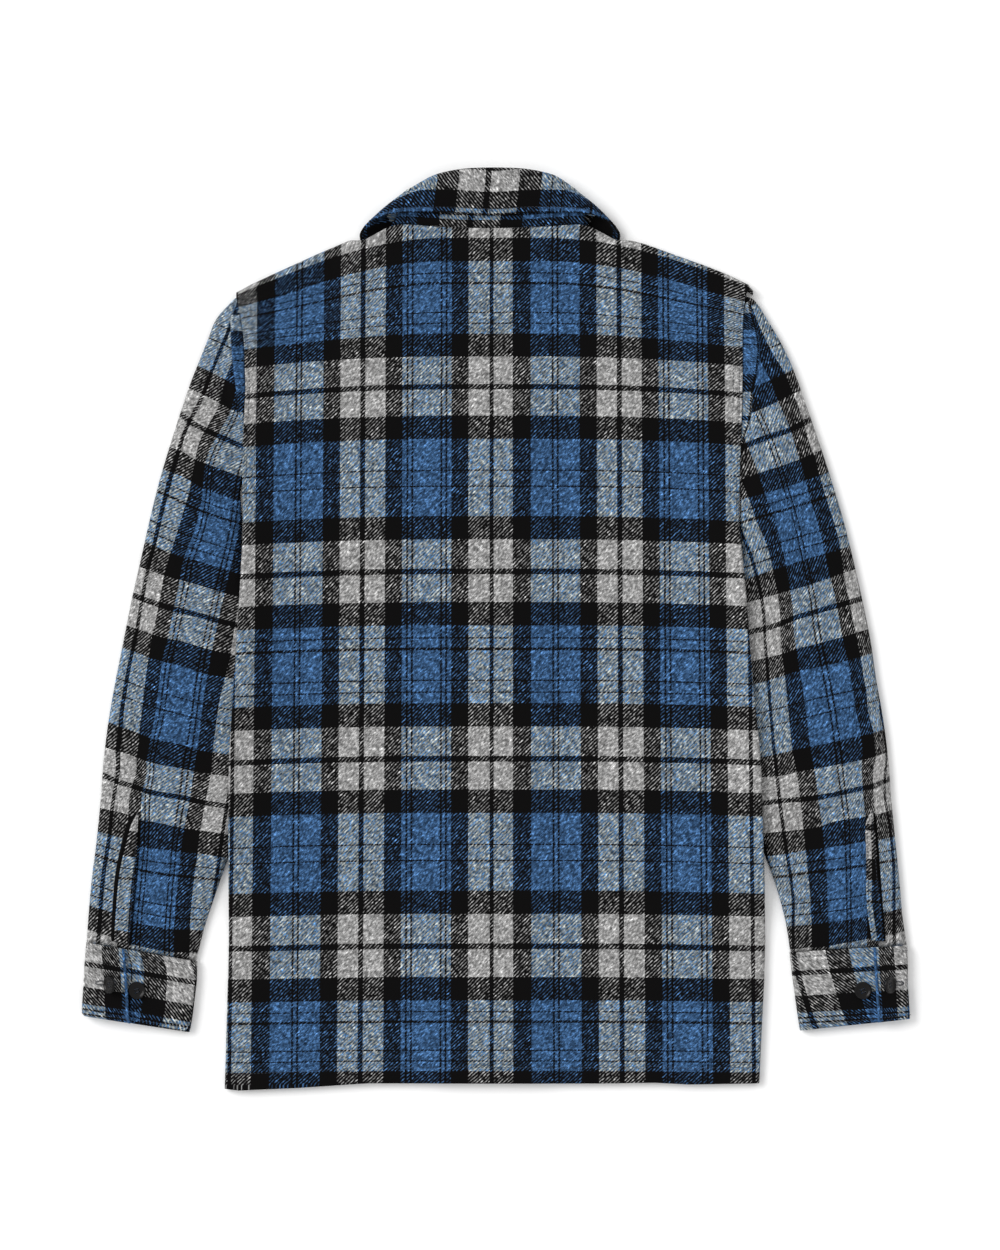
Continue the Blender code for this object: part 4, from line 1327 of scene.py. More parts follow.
class Wiring:
    """Short way to add and link shader nodes in a tree."""

    def __init__(self, tree):
        self.tree = tree

    def add(self, kind, **values):
        node = self.tree.nodes.new(kind)
        for key, value in values.items():
            setattr(node, key, value)
        return node

    def link(self, source, target):
        self.tree.links.new(source, target)

    def math(self, operation, first, second=None, third=None, clamp=False):
        node = self.add("ShaderNodeMath", operation=operation, use_clamp=clamp)
        for index, value in enumerate((first, second, third)):
            if value is None:
                continue
            if isinstance(value, (int, float)):
                node.inputs[index].default_value = value
            else:
                self.link(value, node.inputs[index])
        return node.outputs[0]

    def mix(self, factor, first, second, blend="MIX"):
        node = self.add("ShaderNodeMix", data_type="RGBA", blend_type=blend)
        sockets = (node.inputs["Factor"], node.inputs[6], node.inputs[7])
        for socket, value in zip(sockets, (factor, first, second)):
            if isinstance(value, (int, float, tuple)):
                socket.default_value = value
            else:
                self.link(value, socket)
        return node.outputs[2]

    def noise(self, vector, scale, detail):
        node = self.add("ShaderNodeTexNoise")
        self.link(vector, node.inputs["Vector"])
        node.inputs["Scale"].default_value = scale
        node.inputs["Detail"].default_value = detail
        return node

    def split(self, vector):
        node = self.add("ShaderNodeSeparateXYZ")
        self.link(vector, node.inputs[0])
        return node.outputs


def sett_ramp(wiring, place, sett):
    """Colour ramp whose red is blue yarn and whose green is grey yarn."""
    period = sum(width for _yarn, width in sett)
    share = wiring.math("FRACT", wiring.math("DIVIDE", place, period * MM))
    ramp = wiring.add("ShaderNodeValToRGB")
    ramp.color_ramp.interpolation = "CONSTANT"
    codes = {"black": (0.0, 0.0, 0.0, 1.0), "blue": (1.0, 0.0, 0.0, 1.0),
             "grey": (0.0, 1.0, 0.0, 1.0)}
    elements = ramp.color_ramp.elements
    elements.remove(elements[1])
    elements[0].position = 0.0
    elements[0].color = codes[sett[0][0]]
    reached = sett[0][1]
    for yarn, width in sett[1:]:
        elements.new(reached / period).color = codes[yarn]
        reached += width
    wiring.link(share, ramp.inputs["Fac"])
    parts = wiring.add("ShaderNodeSeparateColor")
    wiring.link(ramp.outputs["Color"], parts.inputs["Color"])
    return parts.outputs["Red"], parts.outputs["Green"]


def plaid_group(colours):
    """Shader group: a two and two twill whose yarns follow the sett both ways."""
    tree = bpy.data.node_groups.new("Wool plaid", "ShaderNodeTree")
    node_input(tree, "Map", "NodeSocketVector")
    node_input(tree, "Black yarn", "NodeSocketColor", (*colours.black, 1.0))
    node_input(tree, "Blue yarn", "NodeSocketColor", (*colours.blue, 1.0))
    node_input(tree, "Grey yarn", "NodeSocketColor", (*colours.grey, 1.0))
    node_input(tree, "Blue heather", "NodeSocketFloat", colours.blue_heather)
    node_input(tree, "Grey heather", "NodeSocketFloat", colours.grey_heather)
    tree.interface.new_socket(name="Color", in_out="OUTPUT", socket_type="NodeSocketColor")
    tree.interface.new_socket(name="Height", in_out="OUTPUT", socket_type="NodeSocketFloat")
    w = Wiring(tree)
    given = w.add("NodeGroupInput")
    result = w.add("NodeGroupOutput")
    place = given.outputs["Map"]

    def centred_noise(vector, scale, detail):
        noise = w.noise(vector, scale, detail)
        centred = w.add("ShaderNodeVectorMath", operation="SUBTRACT")
        w.link(noise.outputs["Color"], centred.inputs[0])
        centred.inputs[1].default_value = (0.5, 0.5, 0.5)
        return centred.outputs[0]

    jitter = w.add("ShaderNodeVectorMath", operation="MULTIPLY_ADD")
    w.link(centred_noise(place, RAGGED_SCALE, 1.0), jitter.inputs[0])
    jitter.inputs[1].default_value = (EDGE_JITTER * MM, EDGE_JITTER * MM, 0.0)
    w.link(place, jitter.inputs[2])
    ragged, plain = w.split(jitter.outputs[0]), w.split(place)
    warp_blue, warp_grey = sett_ramp(w, ragged["X"], WARP_SETT)
    weft_blue, weft_grey = sett_ramp(w, ragged["Y"], WEFT_SETT)
    across = w.math("ADD", plain["X"], plain["Y"])
    along = w.math("SUBTRACT", plain["X"], plain["Y"])
    drawn = w.add("ShaderNodeCombineXYZ")
    w.link(across, drawn.inputs["X"])
    w.link(w.math("MULTIPLY", along, FLECK_DRAW), drawn.inputs["Y"])
    flecks = w.split(centred_noise(drawn.outputs[0], FLECK_SCALE, 1.0))
    blots = w.split(centred_noise(place, BLOT_SCALE, 2.0))

    def darkness(blue_share, grey_share):
        black = w.math("MULTIPLY", w.math("ADD", blue_share, grey_share), -BLACK_DEPTH)
        return w.math("ADD", w.math("MULTIPLY", blue_share, BLUE_DEPTH),
                      w.math("ADD", black, BLACK_DEPTH))

    warp_dark, weft_dark = darkness(warp_blue, warp_grey), darkness(weft_blue, weft_grey)
    uneven = w.math("SUBTRACT", warp_dark, weft_dark)

    def yarn(blue_share, grey_share, fleck):
        depth = w.math("ADD", w.math("MULTIPLY", blue_share, given.outputs["Blue heather"]),
                       w.math("MULTIPLY", grey_share, given.outputs["Grey heather"]))
        uneven_dye = w.math("ADD", fleck, w.math("MULTIPLY", blots["X"], BLOT_DEPTH))
        light = w.math("EXPONENT", w.math("MULTIPLY", uneven_dye, depth))
        colour = w.mix(blue_share, given.outputs["Black yarn"], given.outputs["Blue yarn"])
        colour = w.mix(grey_share, colour, given.outputs["Grey yarn"])
        scale = w.add("ShaderNodeVectorMath", operation="SCALE")
        w.link(colour, scale.inputs[0])
        w.link(light, scale.inputs["Scale"])
        return scale.outputs[0]

    warp = yarn(warp_blue, warp_grey, flecks["X"])
    weft = yarn(weft_blue, weft_grey, flecks["Y"])
    lines = w.math("DIVIDE", across, TWILL_PITCH * MM)
    shake = w.math("MULTIPLY", blots["Y"], TWILL_SHAKE)
    phase = w.math("FRACT", w.math("ADD", lines, shake))
    wave = w.math("ABSOLUTE", w.math("SUBTRACT", w.math("MULTIPLY", phase, 2.0), 1.0))
    strength = w.math("ADD", w.math("ABSOLUTE", uneven), EVEN_TWILL, clamp=True)
    lean = w.math("MULTIPLY", w.math("SUBTRACT", wave, 0.5), strength)
    tilt = w.math("ADD", w.math("MULTIPLY", uneven, DARK_COVER), 0.5)
    breaks = w.math("MULTIPLY", flecks["Z"], TWILL_BREAK)
    level = w.math("ADD", w.math("ADD", lean, tilt), breaks)
    ramp = w.add("ShaderNodeMapRange", interpolation_type="SMOOTHSTEP")
    w.link(level, ramp.inputs["Value"])
    blues = w.math("ABSOLUTE", w.math("SUBTRACT", warp_blue, weft_blue))
    greys = w.math("ABSOLUTE", w.math("SUBTRACT", warp_grey, weft_grey))
    blend = w.math("MULTIPLY", blues, greys)
    edge = w.math("ADD", w.math("MULTIPLY", blend, BLEND_EDGE), TWILL_EDGE)
    w.link(w.math("SUBTRACT", 0.5, edge), ramp.inputs["From Min"])
    w.link(w.math("ADD", 0.5, edge), ramp.inputs["From Max"])
    colour = w.mix(ramp.outputs["Result"], weft, warp)
    tinted = w.mix(blend, (1.0, 1.0, 1.0, 1.0), (*BLEND_TINT, 1.0))
    w.link(w.mix(1.0, colour, tinted, "MULTIPLY"), result.inputs["Color"])
    rib = w.math("MULTIPLY", w.math("ABSOLUTE", w.math("SUBTRACT", wave, 0.5)), 1.2)
    nap = w.math("MULTIPLY", flecks["Z"], 2.0)
    w.link(w.math("ADD", rib, nap), result.inputs["Height"])
    return tree


def wool_material(name, group):
    """Napped wool: the plaid group with soft sheen and a raised weave."""
    material = bpy.data.materials.new(name)
    material.use_nodes = True
    w = Wiring(material.node_tree)
    shader = material.node_tree.nodes["Principled BSDF"]
    place = w.add("ShaderNodeUVMap", uv_map="Plaid")
    plaid = w.add("ShaderNodeGroup", node_tree=group)
    w.link(place.outputs["UV"], plaid.inputs["Map"])
    w.link(plaid.outputs["Color"], shader.inputs["Base Color"])
    bump = w.add("ShaderNodeBump")
    bump.inputs["Strength"].default_value = 0.5
    bump.inputs["Distance"].default_value = 0.0004
    w.link(plaid.outputs["Height"], bump.inputs["Height"])
    w.link(bump.outputs["Normal"], shader.inputs["Normal"])
    shader.inputs["Roughness"].default_value = 0.95
    shader.inputs["Specular IOR Level"].default_value = 0.05
    shader.inputs["Sheen Weight"].default_value = 0.015
    shader.inputs["Sheen Roughness"].default_value = 0.5
    return material


def plain_material(name, colour, roughness, grain, scale):
    """Plain finish with a little grain, on object coordinates."""
    material = bpy.data.materials.new(name)
    material.use_nodes = True
    w = Wiring(material.node_tree)
    shader = material.node_tree.nodes["Principled BSDF"]
    place = w.add("ShaderNodeTexCoord")
    speck = w.noise(place.outputs["Object"], scale, 3.0).outputs["Fac"]
    dark = tuple(value * (1.0 - grain) for value in colour) + (1.0,)
    light = tuple(min(1.0, value * (1.0 + grain)) for value in colour) + (1.0,)
    w.link(w.mix(speck, dark, light), shader.inputs["Base Color"])
    bump = w.add("ShaderNodeBump")
    bump.inputs["Strength"].default_value = 0.12
    bump.inputs["Distance"].default_value = 0.0002
    w.link(speck, bump.inputs["Height"])
    w.link(bump.outputs["Normal"], shader.inputs["Normal"])
    shader.inputs["Roughness"].default_value = roughness
    return material


class JacketColours(bpy.types.PropertyGroup):
    """Colours of the yarns, the thread and the buttons."""

    black: bpy.props.FloatVectorProperty(
        name="Black yarn", description="Darkest yarn of the plaid", subtype="COLOR",
        default=(0.0026, 0.0024, 0.0025), min=0.0, max=1.0)
    blue: bpy.props.FloatVectorProperty(
        name="Blue yarn", description="Blue yarn of the plaid", subtype="COLOR",
        default=(0.027, 0.066, 0.142), min=0.0, max=1.0)
    grey: bpy.props.FloatVectorProperty(
        name="Grey yarn", description="Pale grey yarn of the plaid", subtype="COLOR",
        default=(0.243, 0.241, 0.239), min=0.0, max=1.0)
    blue_heather: bpy.props.FloatProperty(
        name="Blue heather", description="How much the fibres of the blue yarn differ",
        default=6.0, min=0.0, max=12.0)
    grey_heather: bpy.props.FloatProperty(
        name="Grey heather", description="How much the fibres of the grey yarn differ",
        default=4.4, min=0.0, max=12.0)
    thread: bpy.props.FloatVectorProperty(
        name="Thread", description="Sewing thread", subtype="COLOR",
        default=(0.012, 0.016, 0.026), min=0.0, max=1.0)
    button: bpy.props.FloatVectorProperty(
        name="Button", description="Buttons", subtype="COLOR",
        default=(0.0045, 0.0042, 0.0045), min=0.0, max=1.0)
    floor: bpy.props.FloatVectorProperty(
        name="Floor", description="Surface that the jacket lies on", subtype="COLOR",
        default=(0.9, 0.9, 0.9), min=0.0, max=1.0)


class JacketSizes(bpy.types.PropertyGroup):
    """Sizes of what the scene adds to the solids."""

    mesh_spacing: bpy.props.FloatProperty(
        name="Mesh spacing", description="Distance between the points of a cloth panel",
        default=0.0042, min=0.002, max=0.02, subtype="DISTANCE", unit="LENGTH")
    stitch_length: bpy.props.FloatProperty(
        name="Stitch length", description="Length of one stitch of the top stitching",
        default=0.0026, min=0.001, max=0.01, subtype="DISTANCE", unit="LENGTH")
    stitch_pitch: bpy.props.FloatProperty(
        name="Stitch pitch", description="Distance from one stitch to the next",
        default=0.0033, min=0.001, max=0.02, subtype="DISTANCE", unit="LENGTH")
    thread_width: bpy.props.FloatProperty(
        name="Thread width", description="Thickness of the sewing thread",
        default=0.00055, min=0.0001, max=0.002, subtype="DISTANCE", unit="LENGTH")
    view_height: bpy.props.FloatProperty(
        name="View height", description="Height of the ground that the camera sees",
        default=1.125, min=0.2, max=5.0, subtype="DISTANCE", unit="LENGTH")
    lens: bpy.props.FloatProperty(
        name="Lens", description="Focal length of the camera", default=200.0,
        min=20.0, max=300.0, subtype="DISTANCE_CAMERA")


def wool():
    """The wool material, made once."""
    found = bpy.data.materials.get("Plaid wool")
    if found:
        return found
    group = plaid_group(bpy.context.scene.jacket_colours)
    return wool_material("Plaid wool", group)


def spacing():
    return bpy.context.scene.jacket_sizes.mesh_spacing / MM


def panel_rows(fine=0.0):
    height = BODY_SIDES[-1][0] - BODY_SIDES[0][0]
    return panel_lines(height, spacing(), False, True, (fine, 0.0))


class JACKET_OT_back(bpy.types.Operator):
    """Make the back panel, which lies on top"""

    bl_idname = "jacket.back"
    bl_label = "Back panel"

    def execute(self, context):
        columns = panel_lines(BACK_WIDTH, spacing(), True, True, BACK_FINE)
        grid = panel_surface(columns, panel_rows(HEM_ROW + HEM_FINE), left_x, right_x,
                             (hem_y, back_top_y), back_top, 1.0, BACK_CREASES)
        uv = body_map(*unrolled(grid))
        piece = cloth_piece("back_panel_cloth", grid, uv, wool(), CLOTH)
        declare(piece, "back_panel", grid)
        return {"FINISHED"}


class JACKET_OT_fronts(bpy.types.Operator):
    """Make both fronts, whose outer faces lie on the surface"""

    bl_idname = "jacket.fronts"
    bl_label = "Fronts"

    def execute(self, context):
        edges = (hem_y, front_top_y)
        columns = panel_lines(FRONT_WIDTH, FRONT_COARSENESS * spacing(), True, False)
        grid = panel_surface(columns, panel_rows(), left_x,
                             lambda _level: CENTRE + OVERLAP_HALF,
                             edges, front_bottom, -1.0, ())
        uv = body_map(*unrolled(grid))
        piece = cloth_piece("front_left_cloth", *flipped(grid, uv), wool(), CLOTH)
        declare(piece, "front_left", grid)
        columns = [(share, -folded, -flat, turn) for share, folded, flat, turn in columns]
        grid = panel_surface(columns, panel_rows(), right_x,
                             lambda _level: CENTRE - OVERLAP_HALF,
                             edges, right_front_bottom, -1.0, ())
        uv = body_map(*unrolled(grid))
        piece = cloth_piece("front_right_cloth", grid, uv, wool(), CLOTH)
        declare(piece, "front_right", grid)
        return {"FINISHED"}


class JACKET_OT_sleeves(bpy.types.Operator):
    """Make both sleeves and the strips of their openings"""

    bl_idname = "jacket.sleeves"
    bl_label = "Sleeves"

    def execute(self, context):
        for side in ("left", "right"):
            grid, top_count = sleeve_surface(side)
            shape = facing(side, "right", grid, sleeve_uv(side, grid, top_count))
            piece = cloth_piece("sleeve_%s_cloth" % side, *shape, wool(), CLOTH, ring=True)
            shape = facing(side, "right", *fold_surface(side))
            piece = joined(piece, cloth_piece("armhole_fold", *shape, wool(), FOLD_CLOTH))
            # Painted shade: a dark sheet in the slit along each strip's free edge
            shape = facing(side, "left", *painted_slit_shade_surface(side))
            piece = joined(piece, cloth_piece("painted_slit_shade", *shape, wool(), SLIT_SHADE_CLOTH))
            declare(piece, "sleeve_" + side, grid)
            grid = strip_surface(side)
            shape = flipped(grid, strip_uv(side, grid))
            piece = cloth_piece("sleeve_strip_%s_cloth" % side, *shape, wool(), STRIP_CLOTH)
            declare(piece, "sleeve_strip_" + side, grid)
        return {"FINISHED"}


class JACKET_OT_cuffs(bpy.types.Operator):
    """Make both cuffs, cut across the cloth"""

    bl_idname = "jacket.cuffs"
    bl_label = "Cuffs"

    def execute(self, context):
        for side in ("left", "right"):
            grid = cuff_surface(side)
            reach, down = reached(grid, 1), reached(grid, 0)
            turn = int(np.argmax(grid[0, :, 0] if side == "left" else -grid[0, :, 0]))
            inner, inner_v = float(reach[len(grid) // 2, turn]), CUFF_INNER_V[side]
            beyond = (inner + CUFF_WEFT_ON, inner_v + CUFF_WEFT_ON)
            v = look_up((*CUFF_WEFT[side], (inner, inner_v), beyond), reach)
            v = v if side == "left" else 2.0 * WEFT_GREY_LINE - v
            uv = (WARP_GREY_LINE + down - CUFF_LINE_DEPTH, v)
            shape = facing(side, "left", grid, uv)
            piece = cloth_piece("cuff_%s_cloth" % side, *shape, wool(), CUFF_CLOTH)
            shape = facing(side, "left", *flap_edge(grid))
            piece = joined(piece, cloth_piece("flap_edge", *shape, wool(), FLAP_EDGE_CLOTH))
            declare(piece, "cuff_" + side, grid)
        return {"FINISHED"}


class JACKET_OT_collar(bpy.types.Operator):
    """Make the collar's stand and its turned-down leaf, cut across the cloth"""

    bl_idname = "jacket.collar"
    bl_label = "Collar"

    def execute(self, context):
        stand, leaf = collar_surfaces()
        for name, grid in (("collar_stand", stand), ("collar_leaf", leaf)):
            reach, down = reached(grid, 0), reached(grid, 1)
            reach = COLLAR_PLAID_PITCH * (reach - reach[len(grid) // 2])
            if name == "collar_stand":
                uv = (NECK_SEAM_U + down, WEFT_GREY_LINE + reach + STAND_SHIFT)
            else:
                rise = grid[:, LEAF_BACK_FROM, 1] - grid[:, -1, 1]
                span = np.linalg.norm(grid[:, LEAF_BACK_FROM] - grid[:, -1], axis=1)
                level = np.clip(rise / span, LEAF_LEAST_LEVEL, 1.0)[:, None]
                u = LEAF_EDGE_U - (down[:, -1:] - down) * level
                uv = (u, WEFT_GREY_LINE - reach - LEAF_SHIFT)
            piece = cloth_piece(name + "_cloth", grid, uv, wool(), CLOTH, centred=True)
            declare(piece, name, grid)
        return {"FINISHED"}


def button_mesh(name, sides=40):
    """Turned button with a raised rim and four holes, its middle at the origin."""
    shape = bmesh.new()
    rings = []
    for inset, share in BUTTON_PROFILE:
        radius, height = BUTTON_RADIUS - inset, share * 0.5 * BUTTON_THICK
        if radius == 0.0:
            rings.append([shape.verts.new((0.0, 0.0, height * MM))])
            continue
        turns = [2.0 * math.pi * step / sides for step in range(sides)]
        rings.append([
            shape.verts.new((radius * math.cos(t) * MM, radius * math.sin(t) * MM, height * MM))
            for t in turns
        ])
    for lower, upper in zip(rings, rings[1:]):
        for step in range(sides):
            following = (step + 1) % sides
            corners = [lower[step % len(lower)], lower[following % len(lower)],
                       upper[following % len(upper)], upper[step % len(upper)]]
            shape.faces.new(list(dict.fromkeys(corners)))
    bmesh.ops.recalc_face_normals(shape, faces=shape.faces)
    mesh = bpy.data.meshes.new(name)
    shape.to_mesh(mesh)
    shape.free()
    return mesh


def drilled_button(name, material):
    """A button object with its four holes cut."""
    thing = bpy.data.objects.new(name, button_mesh(name))
    bpy.context.scene.collection.objects.link(thing)
    shape = bmesh.new()
    for x in (-HOLE_OFFSET, HOLE_OFFSET):
        for y in (-HOLE_OFFSET, HOLE_OFFSET):
            place = Matrix.Translation((x * MM, y * MM, 0.0))
            bmesh.ops.create_cone(shape, cap_ends=True, segments=14, radius1=HOLE_RADIUS * MM,
                                  radius2=HOLE_RADIUS * MM, depth=0.01, matrix=place)
    mesh = bpy.data.meshes.new("drill")
    shape.to_mesh(mesh)
    shape.free()
    drill = bpy.data.objects.new("drill", mesh)
    bpy.context.scene.collection.objects.link(drill)
    cut = thing.modifiers.new("Holes", "BOOLEAN")
    cut.object = drill
    result = evaluated(thing)
    bpy.data.objects.remove(drill)
    result.data.materials.clear()
    result.data.materials.append(material)
    result.data.shade_smooth()
    result.data.set_sharp_from_angle(angle=math.radians(40.0))
    return result


def button_places():
    """Node and place of every button's middle, with its turn."""
    half = 0.5 * BUTTON_THICK
    lean = BUTTON_RADIUS * math.sin(BUTTON_TILT) + half * math.cos(BUTTON_TILT)
    places = []
    for side, x, y in SPARE_BUTTONS:
        places.append(("cuff_button_spare_" + side, (x, y, SLEEVE_TOP + SEAM + half), 0.0))
    for side, x, y, sign in FASTENED_BUTTONS:
        place = (x, y, CUFF_FLAP_TOP + SEAM + lean)
        places.append(("cuff_button_" + side, place, sign * BUTTON_TILT))
    for index in range(FRONT_BUTTON_COUNT):
        y = FRONT_BUTTON_TOP - index * FRONT_BUTTON_PITCH
        place = (CENTRE, y, TURNED_COLLAR_LIFT - FRONT_BUTTON_GAP - half)
        places.append(("front_button_%d" % (index + 1), place, math.pi))
    return places


class JACKET_OT_buttons(bpy.types.Operator):
    """Make the buttons, with rims and four holes"""

    bl_idname = "jacket.buttons"
    bl_label = "Buttons"

    def execute(self, context):
        colours = context.scene.jacket_colours
        horn = plain_material("Polished button", tuple(colours.button),
                              roughness=0.24, grain=0.3, scale=500.0)
        shader = horn.node_tree.nodes["Principled BSDF"]
        shader.inputs["Specular IOR Level"].default_value = 0.15
        first = drilled_button("button_pattern", horn)
        for node, place, tilt in button_places():
            mesh = first.data.copy()
            turn = Matrix.Rotation(tilt, 4, "Y") @ Matrix.Rotation(BUTTON_SPIN, 4, "Z")
            mesh.transform(Matrix.Translation([value * MM for value in place]) @ turn)
            piece = bpy.data.objects.new(node + "_turned", mesh)
            context.scene.collection.objects.link(piece)
            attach(piece, "root")
            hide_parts(node)
        bpy.data.objects.remove(first)
        return {"FINISHED"}


def stitch_group():
    """Geometry Nodes tree that lays stitches one after the other along paths."""
    tree = bpy.data.node_groups.new("Stitch row", "GeometryNodeTree")
    node_input(tree, "Geometry", "NodeSocketGeometry")
    for name in ("Pitch", "Length", "Width"):
        node_input(tree, name, "NodeSocketFloat", 0.001)
    node_input(tree, "Unevenness", "NodeSocketFloat", 0.12)
    node_input(tree, "Material", "NodeSocketMaterial")
    tree.interface.new_socket(name="Geometry", in_out="OUTPUT", socket_type="NodeSocketGeometry")
    w = Wiring(tree)
    given, result = w.add("NodeGroupInput"), w.add("NodeGroupOutput")
    curve = w.add("GeometryNodeMeshToCurve")
    w.link(given.outputs["Geometry"], curve.inputs["Mesh"])
    spaced = w.add("GeometryNodeResampleCurve", mode="LENGTH")
    w.link(curve.outputs["Curve"], spaced.inputs["Curve"])
    w.link(given.outputs["Pitch"], spaced.inputs["Length"])
    stitch = w.add("GeometryNodeMeshUVSphere")
    stitch.inputs["Segments"].default_value = 6
    stitch.inputs["Rings"].default_value = 4
    stitch.inputs["Radius"].default_value = 0.5
    size = w.add("ShaderNodeCombineXYZ")
    w.link(given.outputs["Length"], size.inputs["X"])
    w.link(given.outputs["Width"], size.inputs["Y"])
    w.link(w.math("MINIMUM", given.outputs["Width"], given.outputs["Length"]), size.inputs["Z"])
    vary = w.add("FunctionNodeRandomValue", data_type="FLOAT")
    vary.inputs["Seed"].default_value = 11
    w.link(w.math("SUBTRACT", 1.0, given.outputs["Unevenness"]), vary.inputs[2])
    w.link(w.math("ADD", 1.0, given.outputs["Unevenness"]), vary.inputs[3])
    scale = w.add("ShaderNodeVectorMath", operation="SCALE")
    w.link(size.outputs[0], scale.inputs[0])
    w.link(vary.outputs[1], scale.inputs["Scale"])
    tangent = w.add("GeometryNodeInputTangent")
    turn = w.add("FunctionNodeAlignRotationToVector", axis="X")
    w.link(tangent.outputs[0], turn.inputs["Vector"])
    placed = w.add("GeometryNodeInstanceOnPoints")
    w.link(spaced.outputs["Curve"], placed.inputs["Points"])
    w.link(stitch.outputs["Mesh"], placed.inputs["Instance"])
    w.link(turn.outputs[0], placed.inputs["Rotation"])
    w.link(scale.outputs[0], placed.inputs["Scale"])
    real = w.add("GeometryNodeRealizeInstances")
    w.link(placed.outputs[0], real.inputs[0])
    finish = w.add("GeometryNodeSetMaterial")
    w.link(real.outputs[0], finish.inputs["Geometry"])
    w.link(given.outputs["Material"], finish.inputs["Material"])
    w.link(finish.outputs[0], result.inputs["Geometry"])
    return tree


def stitched(name, paths, sizes, material, tree):
    """Plain mesh of the stitches along some paths, in millimetres."""
    points, edges = [], []
    for path in paths:
        first = len(points)
        points.extend((np.asarray(path) * MM).tolist())
        edges.extend((first + step, first + step + 1) for step in range(len(path) - 1))
    mesh = bpy.data.meshes.new(name)
    mesh.from_pydata(points, edges, [])
    thing = bpy.data.objects.new(name, mesh)
    bpy.context.scene.collection.objects.link(thing)
    rows = thing.modifiers.new("Stitches", "NODES")
    rows.node_group = tree
    values = dict(zip(("Pitch", "Length", "Width"), sizes), Material=material)
    for item in tree.interface.items_tree:
        if item.item_type == "SOCKET" and item.in_out == "INPUT" and item.name in values:
            rows[item.identifier] = values[item.name]
    made = evaluated(thing)
    made.data.shade_smooth()
    return made


def stitch_line(grid, inset, sign=1.0, part=(0.0, 1.0)):
    """Path just over a surface, at a distance from its first edge or, below 0, its last."""
    normals = sign * surface_normals(grid)
    path = []
    last = len(grid) - 1
    for row in range(round(part[0] * last), round(part[1] * last) + 1):
        reach = reached(grid[row])
        place = inset if inset > 0.0 else reach[-1] + inset
        lifted = grid[row] + THREAD_LIFT * normals[row]
        path.append([np.interp(place, reach, lifted[:, axis]) for axis in range(3)])
    path = np.array(path)
    path[:, 2] = np.maximum(path[:, 2], LOWEST_STITCH)
    return path


def back_line(x, y):
    """Path on the back panel."""
    height = back_top(x, y) + creased(BACK_CREASES, x, y) + stitch_dents(x, y) + THREAD_LIFT
    return np.stack((x, y, height), axis=1)


def seam_paths():
    """Every visible row of top stitching."""
    level = np.arange(*ARMHOLE_ROW_PATH)
    paths = [back_line(left_x(level) + inset, level) for inset in ARMHOLE_ROWS["left"]]
    paths += [back_line(right_x(level) - inset, level) for inset in ARMHOLE_ROWS["right"]]
    x = np.arange(*HEM_ROW_PATH)
    paths.append(back_line(x, hem_y(x) + HEM_ROW))
    for side, sign in (("left", 1.0), ("right", -1.0)):
        cuff = cuff_surface(side)
        across = np.swapaxes(cuff, 0, 1)
        paths += [stitch_line(across, inset, -sign) for inset in CUFF_ROWS]
        paths.append(stitch_line(cuff, FLAP_END_ROW, sign, FLAP_END_ROW_PART))
        strip = strip_surface(side)
        paths += [stitch_line(strip, inset, -1.0) for inset in STRIP_ROWS]
    _stand, leaf = collar_surfaces()
    row = stitch_line(leaf, LEAF_ROW, 1.0, LEAF_ROW_PART)
    first = round(LEAF_ROW_PART[0] * (len(leaf) - 1))
    normals = surface_normals(leaf)[first:first + len(row), -4]
    paths.append(row + 0.5 * CLOTH * normals)
    return paths


def buttonhole_paths():
    """Loop round each buttonhole of the cuffs' flaps."""
    paths = []
    length, width = BUTTONHOLE_HALF
    for x, y in BUTTONHOLES:
        turns = np.linspace(0.0, 2.0 * math.pi, 61)
        across, up = np.cos(turns), np.sin(turns)
        bend = np.sign(across) * np.abs(across) ** 0.5
        height = np.full(len(turns), CUFF_FLAP_TOP + THREAD_LIFT)
        paths.append(np.stack((x + length * bend, y + width * up, height), axis=1))
    return paths


def button_thread_paths():
    """Threads through the holes of every button."""
    low, high = BUTTON_THREAD_LEVELS
    paths = []
    for _node, place, tilt in button_places():
        turn = Matrix.Rotation(tilt, 3, "Y") @ Matrix.Rotation(BUTTON_SPIN, 3, "Z")
        for side in (-HOLE_OFFSET, HOLE_OFFSET):
            ends = [(-HOLE_OFFSET, side, low), (-HOLE_OFFSET, side, high),
                    (HOLE_OFFSET, side, high), (HOLE_OFFSET, side, low)]
            paths.append([list(turn @ Vector(end) + Vector(place)) for end in ends])
    return paths


class JACKET_OT_stitching(bpy.types.Operator):
    """Sew the rows of stitches, the buttonholes and the buttons' threads"""

    bl_idname = "jacket.stitching"
    bl_label = "Stitching"

    def execute(self, context):
        sizes, colours = context.scene.jacket_sizes, context.scene.jacket_colours
        thread = plain_material("Sewing thread", tuple(colours.thread),
                                roughness=0.7, grain=0.3, scale=2500.0)
        tree = stitch_group()
        row = (sizes.stitch_pitch, sizes.stitch_length, sizes.thread_width)
        holes = [size * MM for size in BUTTONHOLE_STITCH]
        fixings = [size * MM for size in BUTTON_STITCH]
        piece = stitched("stitching", seam_paths(), row, thread, tree)
        for name, paths, measures in (("buttonholes", buttonhole_paths(), holes),
                                      ("button_threads", button_thread_paths(), fixings)):
            piece = joined(piece, stitched(name, paths, measures, thread, tree))
        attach(piece, "root")
        return {"FINISHED"}


